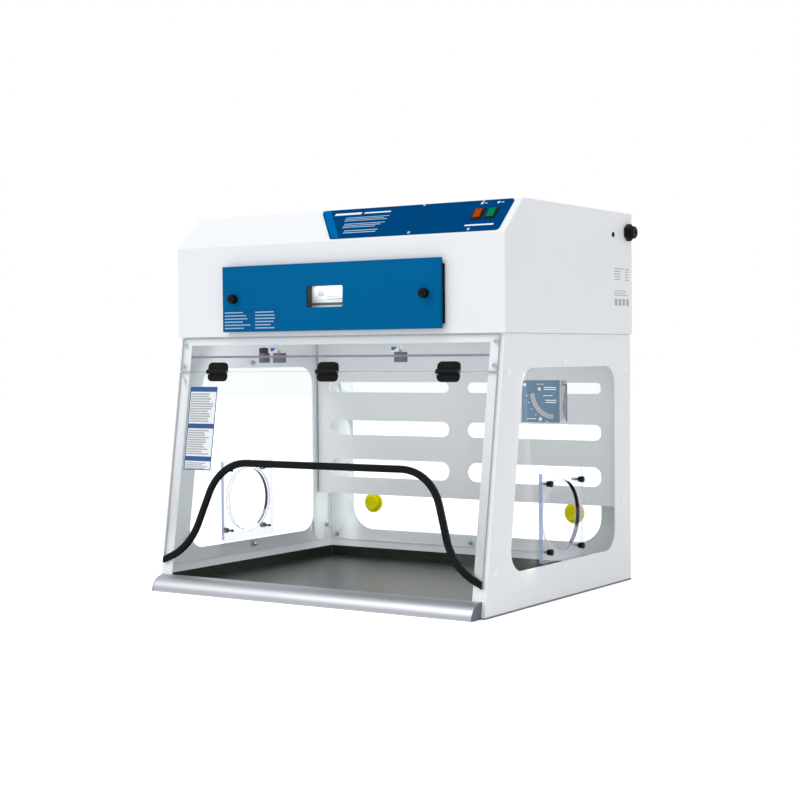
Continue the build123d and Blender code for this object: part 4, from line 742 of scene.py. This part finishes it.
def make_port_plates():
    """Clear plates with a round port, whose rim and edges carry painted shade and painted reflection in
    materials of their own.
    """
    near_corner = [43.3, 43.9, 44.5, 45, 45.5, 46.1, 46.7]
    quarter_degrees = list(range(0, 45, 5)) + near_corner + list(range(50, 90, 5))
    degrees = [90 * quarter + a for quarter in range(4) for a in quarter_degrees]
    n = len(degrees)
    bevel = 0.6
    rim_bevel = 0.8
    shoulder = PORT_OUTER - bevel
    sections = [("out", 0.0, PORT_INNER), ("out", 0.0, shoulder), ("out", -bevel, PORT_OUTER),
                ("in", rim_bevel, PORT_OUTER), ("in", 0.0, shoulder), ("in", 0.0, PORT_INNER)]
    for side, base in ((1, RIGHT), (-1, LEFT)):
        shape = Shape()
        verts = []
        for kind, grow, height in sections:
            for d in degrees:
                a = math.radians(d)
                if kind == "out":
                    reach = square_reach(a, PORT_HALF + grow, PORT_CORNER)
                else:
                    reach = PORT_RADIUS + grow
                across = side * (PORT_Y + reach * math.cos(a))
                verts.append((across, PORT_Z + reach * math.sin(a), height))
        by_mark = [[] for _ in range(7)]
        for row in range(6):
            low = row * n
            high = (row + 1) % 6 * n
            for k in range(n):
                j = (k + 1) % n
                by_mark[port_mark(row, degrees[k])].append((low + k, low + j, high + j, high + k))
        for mark, faces in enumerate(by_mark):
            shape.add(base, verts if mark == 0 else [], [], 0)
            shape.faces += [list(f) for f in faces]
            shape.marks += [mark] * len(faces)
        name = "right" if side > 0 else "left"
        shape.make("port_plate_edges_" + name,
                   [CLEAR_PORT, PORT_FRONT_REFLECTION, PORT_EDGE, PORT_REAR_RIM_SHADE, PORT_REAR_TAPER_SHADE, PORT_OUTLINE_SHADE, PORT_BORE],
                   "hood", ["port_plate_" + name])


make_port_plates()


# Thumb screws and door knobs

def fluted(place, shape, radius, depth, flutes, low, high, bevel, mark=0):
    """A round grip with shallow flutes and rounded rims."""
    steps = flutes * 6
    rings = []
    levels = [(low, -bevel), (low + bevel, 0), (high - bevel, 0),
              (high - bevel * 0.3, -bevel * 0.35), (high, -bevel)]
    for height, shrink in levels:
        ring = []
        for k in range(steps):
            a = 2 * math.pi * k / steps
            wave = 0.5 - 0.5 * math.cos(flutes * a)
            r = radius + shrink - depth * wave ** 2
            ring.append((r * math.cos(a), r * math.sin(a), height))
        rings.append(ring)
    shape.loft(place, rings, mark)


def make_thumb_screws():
    """Black grips at the corners of both port plates."""
    shape = Shape()
    for side, base in ((1, RIGHT), (-1, LEFT)):
        for dy in (-PORT_SCREW_REACH, PORT_SCREW_REACH):
            for dz in (-PORT_SCREW_REACH, PORT_SCREW_REACH):
                place = at(base, side * (PORT_Y + dy), PORT_Z + dz, PORT_OUTER)
                shape.lathe(place, [(6.2, 0), (6.2, 0.8), (4.5, 1.2), (4.5, 3.4)], 26)
                fluted(place, shape, 7.0, 0.7, 12, 3.4, 12.4, 0.8)
                shape.lathe(place, [(3.0, -18.0), (3.0, 0.1)], 18)
    shape.make("thumb_screw_set", BLACK, "hood", ["thumb_screws"])


def make_door_knobs():
    """Round grips with a raised line, a spindle and the cam that holds the door."""
    for side, name in ((1, "right"), (-1, "left")):
        shape = Shape()
        place = at(FRONT, side * KNOB_X, KNOB_Z, -DOOR_FACE)
        shape.lathe(place, [(9.5, 0.4), (9.5, 2.6), (9.0, 3.1)], 30)
        fluted(place, shape, 11.0, 1.0, 10, 3.0, 16.0, 1.6)
        shape.dome(at(place, 0, 0, 15.9), 7.5, 0.9, 0.1, 26)
        line = round_rect(-0.9, 0.9, -6.5, 6.5, 0.8, 3)
        shape.prism(at(place, 0, 0, 0, math.pi / 2), line, 16.0, 17.2, 0.3)
        spindle = at(FRONT, side * KNOB_X, KNOB_Z, 262.5)
        shape.lathe(spindle, [(5.9, 0), (5.9, 23.0)], 24)
        half = 5.5
        reach = (0, 24) if side > 0 else (-24, 0)
        shape.prism(spindle, round_rect(reach[0], reach[1], -half, half, 2.5, 4), 0, 3.0, 0.4)
        shape.make("door_knob_grip_" + name, BLACK, "door_knob_" + name,
                   ["door_knob_" + name])


make_thumb_screws()
make_door_knobs()


# Clear strip's clamps

def make_clamps():
    """Slate jaws, a card and a pin on each of the two right ones, and the black star knob of the left one.
    """
    jaws = Shape()
    front, back = -253.5, -230.0
    for x, half in CLAMPS:
        for z0, z1, y0, y1 in ((CLAMP_LOW, 549.9, front, back), (555.1, CLAMP_HIGH, front, back),
                               (CLAMP_LOW, CLAMP_HIGH, -234.7, back)):
            jaws.prism(at(FRONT, x, 0, 0), round_rect(-half, half, z0, z1, 1.8, 3), -y1, -y0, 0.6)
    star = at(FLOOR, CLAMPS[0][0], -243, CLAMP_HIGH)
    fluted(star, jaws, 11.5, 2.6, 5, 0.0, 12.0, 1.5, 1)
    jaws.dome(at(star, 0, 0, 11.8), 5.0, 1.6, 0.3, 20, 1)
    for x, half in CLAMPS[1:]:
        card = at(FRONT, x, 0, 253.6)
        jaws.prism(card, round_rect(-17, 3, 561.2, 573, 0.8, 2), 0, 0.8, 0.2, 2)
        jaws.prism(card, [(-16.4, 565), (-9, 565), (0, 572.4), (-16.4, 572.4)], 0.8, 0.9, 0, 3)
        pin = local_frame((x + 7.0, -251, CLAMP_HIGH), (1, 0, 0), (0, 1, 0))
        jaws.lathe(pin, [(3.0, 0), (3.0, 5.0), (2.4, 6.0)], 20, 4)
    jaws.make("clamp_jaws", [SLATE, BLACK, LABEL, BAND, BOARD], "hood", ["strip_clamps"])


def make_strip_sheet():
    """The fixed clear strip with polished edges, clear of the posts behind it."""
    sheet = Shape()
    sheet.prism(SASH, round_rect(-441, 441, -83.8, -4, 1.2, 3), 0.25, STRIP_THICK, 0.5)
    sheet.make("sash_strip_sheet", CLEAR_SASH, "hood", ["sash_strip"])


def make_window_shade_sleeve():
    """Black sleeve behind the door's window: painted shade for the dark recess that the window looks into.
    """
    sleeve = Shape()
    x0, x1, z0, z1 = DOOR_WINDOW
    wall = 3
    for a0, a1, b0, b1 in ((x0 - wall, x0, z0 - wall, z1 + wall), (x1, x1 + wall, z0 - wall, z1 + wall),
                           (x0, x1, z0 - wall, z0), (x0, x1, z1, z1 + wall)):
        sleeve.prism(FRONT, [(a0, b0), (a1, b0), (a1, b1), (a0, b1)], 262.0, 279.9)
    sleeve.make("door_window_shade_sleeve", RUBBER, "hood")


make_clamps()
make_strip_sheet()
make_window_shade_sleeve()


# Rubber trim along the arch

def make_trim():
    """Black rubber swept along the arch of the sash."""
    right = [(290.5, -304.0), (361.0, -510.0), (441.0, -541.5)]
    left = [(-x, up) for x, up in reversed(right)]
    path = round_path(left + right, [145.0, 105.0, 105.0, 145.0], 18)
    dense = []
    for a, b in zip(path[:-1], path[1:]):
        count = max(1, int((b - a).length // 25))
        for k in range(count):
            dense.append(a.lerp(b, k / count))
    dense.append(path[-1])
    rings = []
    for k, p in enumerate(dense):
        a = dense[max(0, k - 1)]
        b = dense[min(len(dense) - 1, k + 1)]
        d = (b - a).normalized()
        n = Vector((d.y, -d.x))
        back = -2.5 if abs(p.x) < 408 else 0.3
        front = 8.6
        mid = (back + front) / 2
        half = (front - back) / 2
        ring = []
        outline = []
        outline += arc(3.4 - half, 0, half, -90, 90, 12)
        outline += arc(-11.0, half - 1.8, 1.8, 90, 180, 4)
        outline += arc(-11.0, -half + 1.8, 1.8, 180, 270, 4)
        for off, w in outline:
            q = p + n * off
            ring.append((max(-441.0, min(441.0, q.x)), q.y, mid + w))
        rings.append(ring)
    shape = Shape()
    shape.loft(SASH, rings)
    shape.make("sash_edge_trim", RUBBER, "sash", ["sash_trim"], sharp=50)


make_trim()


# Printed fields, kept to plain shapes

def bars(shape, place, x0, x1, y0, y1, rows, fill=0.55, thick=0.12, mark=0, ragged=0.25):
    """Rows of plain bars that stand for small print."""
    pitch = (y1 - y0) / rows
    for row in range(rows):
        y = y1 - (row + 0.5) * pitch
        end = x1 - ragged * random.random() * (x1 - x0)
        h = pitch * fill / 2
        shape.prism(place, [(x0, y - h), (end, y - h), (end, y + h), (x0, y + h)], 0, thick, 0, mark)


def make_panel_print():
    """Pale band and bars on the control panel."""
    band = Shape()
    top = SLANT_LENGTH - 4.0
    lean = (-78.0 + 2.0) / (top - 4.0)
    inner = 2.0
    pts = [(-2 - 1.5 - 4 * lean + 1.2, 7.0), (22, 6.0), (-50.5, top - 1.5), (-73.5, top - 1.5)]
    band.prism(CONTROL, pts, inner, inner + 0.12)
    band.make("panel_band_field", BAND, "hood")
    rows = Shape()
    place = at(CONTROL, 0, 0, 2.0)
    bars(rows, place, -30, 44, 84, 96, 1, 0.6, mark=1, ragged=0.0)
    bars(rows, place, 52, 128, 85, 95, 1, 0.45, mark=1, ragged=0.1)
    bars(rows, place, 8, 128, 62, 78, 3, 0.4)
    bars(rows, place, 14, 128, 38, 56, 3, 0.4)
    bars(rows, place, 26, 120, 18, 32, 2, 0.4)
    bars(rows, place, 347, 419, 19, 27, 1, 0.6, mark=1, ragged=0.0)
    for x in (360.5, 402.0):
        rows.prism(at(place, x, 97), arc(0, 0, 3.4, 0, 345, 23), 0, 0.12, 0, 1)
        rows.prism(at(place, x + 10, 97), round_rect(-4, 4, -1, 1, 0.9, 2), 0, 0.12, 0, 1)
    rows.make("panel_print_field", [PRINT_PALE, PRINT_WHITE], "hood")


def make_door_print():
    """Two columns of bars at the door's lower left."""
    place = at(FRONT, 0, 0, -DOOR_FACE)
    left = Shape()
    left.prism(place, round_rect(-299, -134, 614, 664, 1.5, 2), 0, 0.15, 0, 0)
    for x0, x1 in ((-296, -219), (-205, -145)):
        bars(left, at(place, 0, 0, 0.14), x0, x1, 616, 660, 6, 0.34, mark=1, ragged=0.3)
    left.make("door_notice_field", [DOOR_FIELD, PRINT_PALE], "hood")


def make_sash_label():
    """White label with blue heads and grey bars on the sash."""
    shape = Shape()
    place = at(SASH, 0, 0, STRIP_THICK)
    shape.prism(place, round_rect(-403, -320, -320, -120.5, 2, 3), 0, 0.2, 0, 0)
    up = at(place, 0, 0, 0.2)
    rim = 2.4
    for x0, x1, y0, y1 in ((-403, -320, -123, -120.6), (-403, -320, -320, -317.6),
                           (-403, -403 + rim, -319, -121), (-320 - rim, -320, -319, -121)):
        shape.prism(up, [(x0, y0), (x1, y0), (x1, y1), (x0, y1)], 0, 0.06, 0, 1)
    for top, low, rows in ((-121, -206, 12), (-209, -284, 11), (-287, -318, 4)):
        shape.prism(up, [(-401, top - 11.5), (-322, top - 11.5), (-322, top), (-401, top)], 0, 0.08, 0, 1)
        bars(shape, up, -399, -328, low, top - 14, rows, 0.62, 0.08, 2, ragged=0.35)
    shape.make("sash_label_field", [LABEL, LABEL_BLUE, PRINT_GREY], "sash")


def make_side_print():
    """Grey bars on the right side of the head."""
    shape = Shape()
    place = at(RIGHT, 0, 0, HEAD_X)
    bars(shape, place, 254, 306, 727, 759, 5, 0.36, mark=0, ragged=0.5)
    bars(shape, place, 312, 340, 727, 759, 5, 0.36, mark=0, ragged=0.5)
    bars(shape, place, 254, 340, 690, 706, 3, 0.36, mark=0, ragged=0.3)
    for k in range(4):
        x = 256 + k * 21
        shape.prism(place, round_rect(x, x + 14, 668, 684, 1.2, 2), 0, 0.12, 0, 0)
    shape.make("head_side_print_field", PRINT_GREY, "hood")


def make_filter_label():
    """The filter's label, seen through the door's window."""
    shape = Shape()
    place = at(FRONT, 0, 0, 254.0)
    shape.prism(place, round_rect(-76, 34, 662, 740, 2, 3), 0, 0.8, 0.2, 0)
    up = at(place, 0, 0, 0.8)
    bars(shape, up, -8, 28, 702, 722, 4, 0.4, 0.1, 1)
    shape.prism(up, round_rect(-44, -26, 690, 703, 1, 2), 0, 0.1, 0, 1)
    bars(shape, up, -20, 28, 680, 698, 3, 0.4, 0.1, 1)
    shape.prism(up, [(-75, 669), (33, 669), (33, 675), (-75, 675)], 0, 0.1, 0, 2)
    shape.make("filter_label_field", [LABEL, PRINT_GREY, PRINT_DARK], "hood")


def make_gauge_details():
    """Scale, print and screw of the airflow gauge."""
    pivot = GAUGE_PIVOT
    half = 5.6
    face = Shape()
    flat = at(FRONT, pivot[0], pivot[1], 0.0)
    slot = arc(0, 0, GAUGE_RADIUS + half, 181, 269, 22) + arc(0, 0, GAUGE_RADIUS - half, 269, 181, 22)
    face.prism(flat, slot, 1.2, 2.2, 0, 0)
    for k in range(15):
        a = math.radians(185 + 80 * k / 14)
        spot = at(flat, GAUGE_RADIUS * math.cos(a), GAUGE_RADIUS * math.sin(a), 0.0, a)
        long = 5.0 if k % 3 == 0 else 3.0
        face.prism(spot, [(-long, -0.35), (long, -0.35), (long, 0.35), (-long, 0.35)], 2.2, 2.35, 0, 1)
    top = at(FRONT, 0, 0, 3.0)
    for degree in (186, 200, 214, 228, 242, 256):
        a = math.radians(degree)
        x = pivot[0] + 68.0 * math.cos(a)
        z = pivot[1] + 68.0 * math.sin(a)
        face.prism(top, round_rect(x - 2.5, x + 2.5, z - 0.8, z + 0.8, 0.5, 2), 0, 0.12, 0, 2)
    face.prism(top, arc(354.5, 484, 3.6, 0, 345, 23), 0, 0.12, 0, 2)
    face.prism(top, arc(392, 474, 3.6, 0, 345, 23), 0, 0.12, 0, 2)
    face.prism(top, arc(395, 405.5, 4.6, 0, 345, 23), 0, 0.12, 0, 2)
    for x0, x1, z0, z1, rows in ((404, 436, 471, 480, 2), (402, 428, 457, 461, 1),
                                 (408, 436, 441, 451, 2), (360, 384, 404, 408, 1)):
        bars(face, top, x0, x1, z0, z1, rows, 0.45, mark=2, ragged=0.1)
    face.make("gauge_scale_field", [GAUGE_SCALE, PRINT_DARK, PRINT_WHITE], "hood")
    edge = Shape()
    side = at(RIGHT, 0, 0, PANE_X)
    edge.prism(side, round_rect(3, 13, 402, 480, 1.0, 2), 0, 0.1, 0, 0)
    edge.prism(side, round_rect(14, 17, 421, 446, 1.0, 2), 0, 0.1, 0, 1)
    # Mark 2 is a strip and its foot in painted shade, where the gauge's side has a slit.
    edge.prism(side, round_rect(27.5, 34.5, 400, 482, 0.8, 2), 0, 0.1, 0, 2)
    edge.prism(side, round_rect(9, 34.5, 482, 484.5, 0.8, 2), 0, 0.1, 0, 2)
    edge.prism(side, arc(15, 489.4, 3.4, 0, 345, 23), 0, 0.1, 0, 1)
    edge.make("gauge_side_field", [PRINT_GREY, PRINT_DARK, SLIT_SHADE], "hood")


make_gauge_details()
make_panel_print()
make_door_print()
make_sash_label()
make_side_print()
make_filter_label()
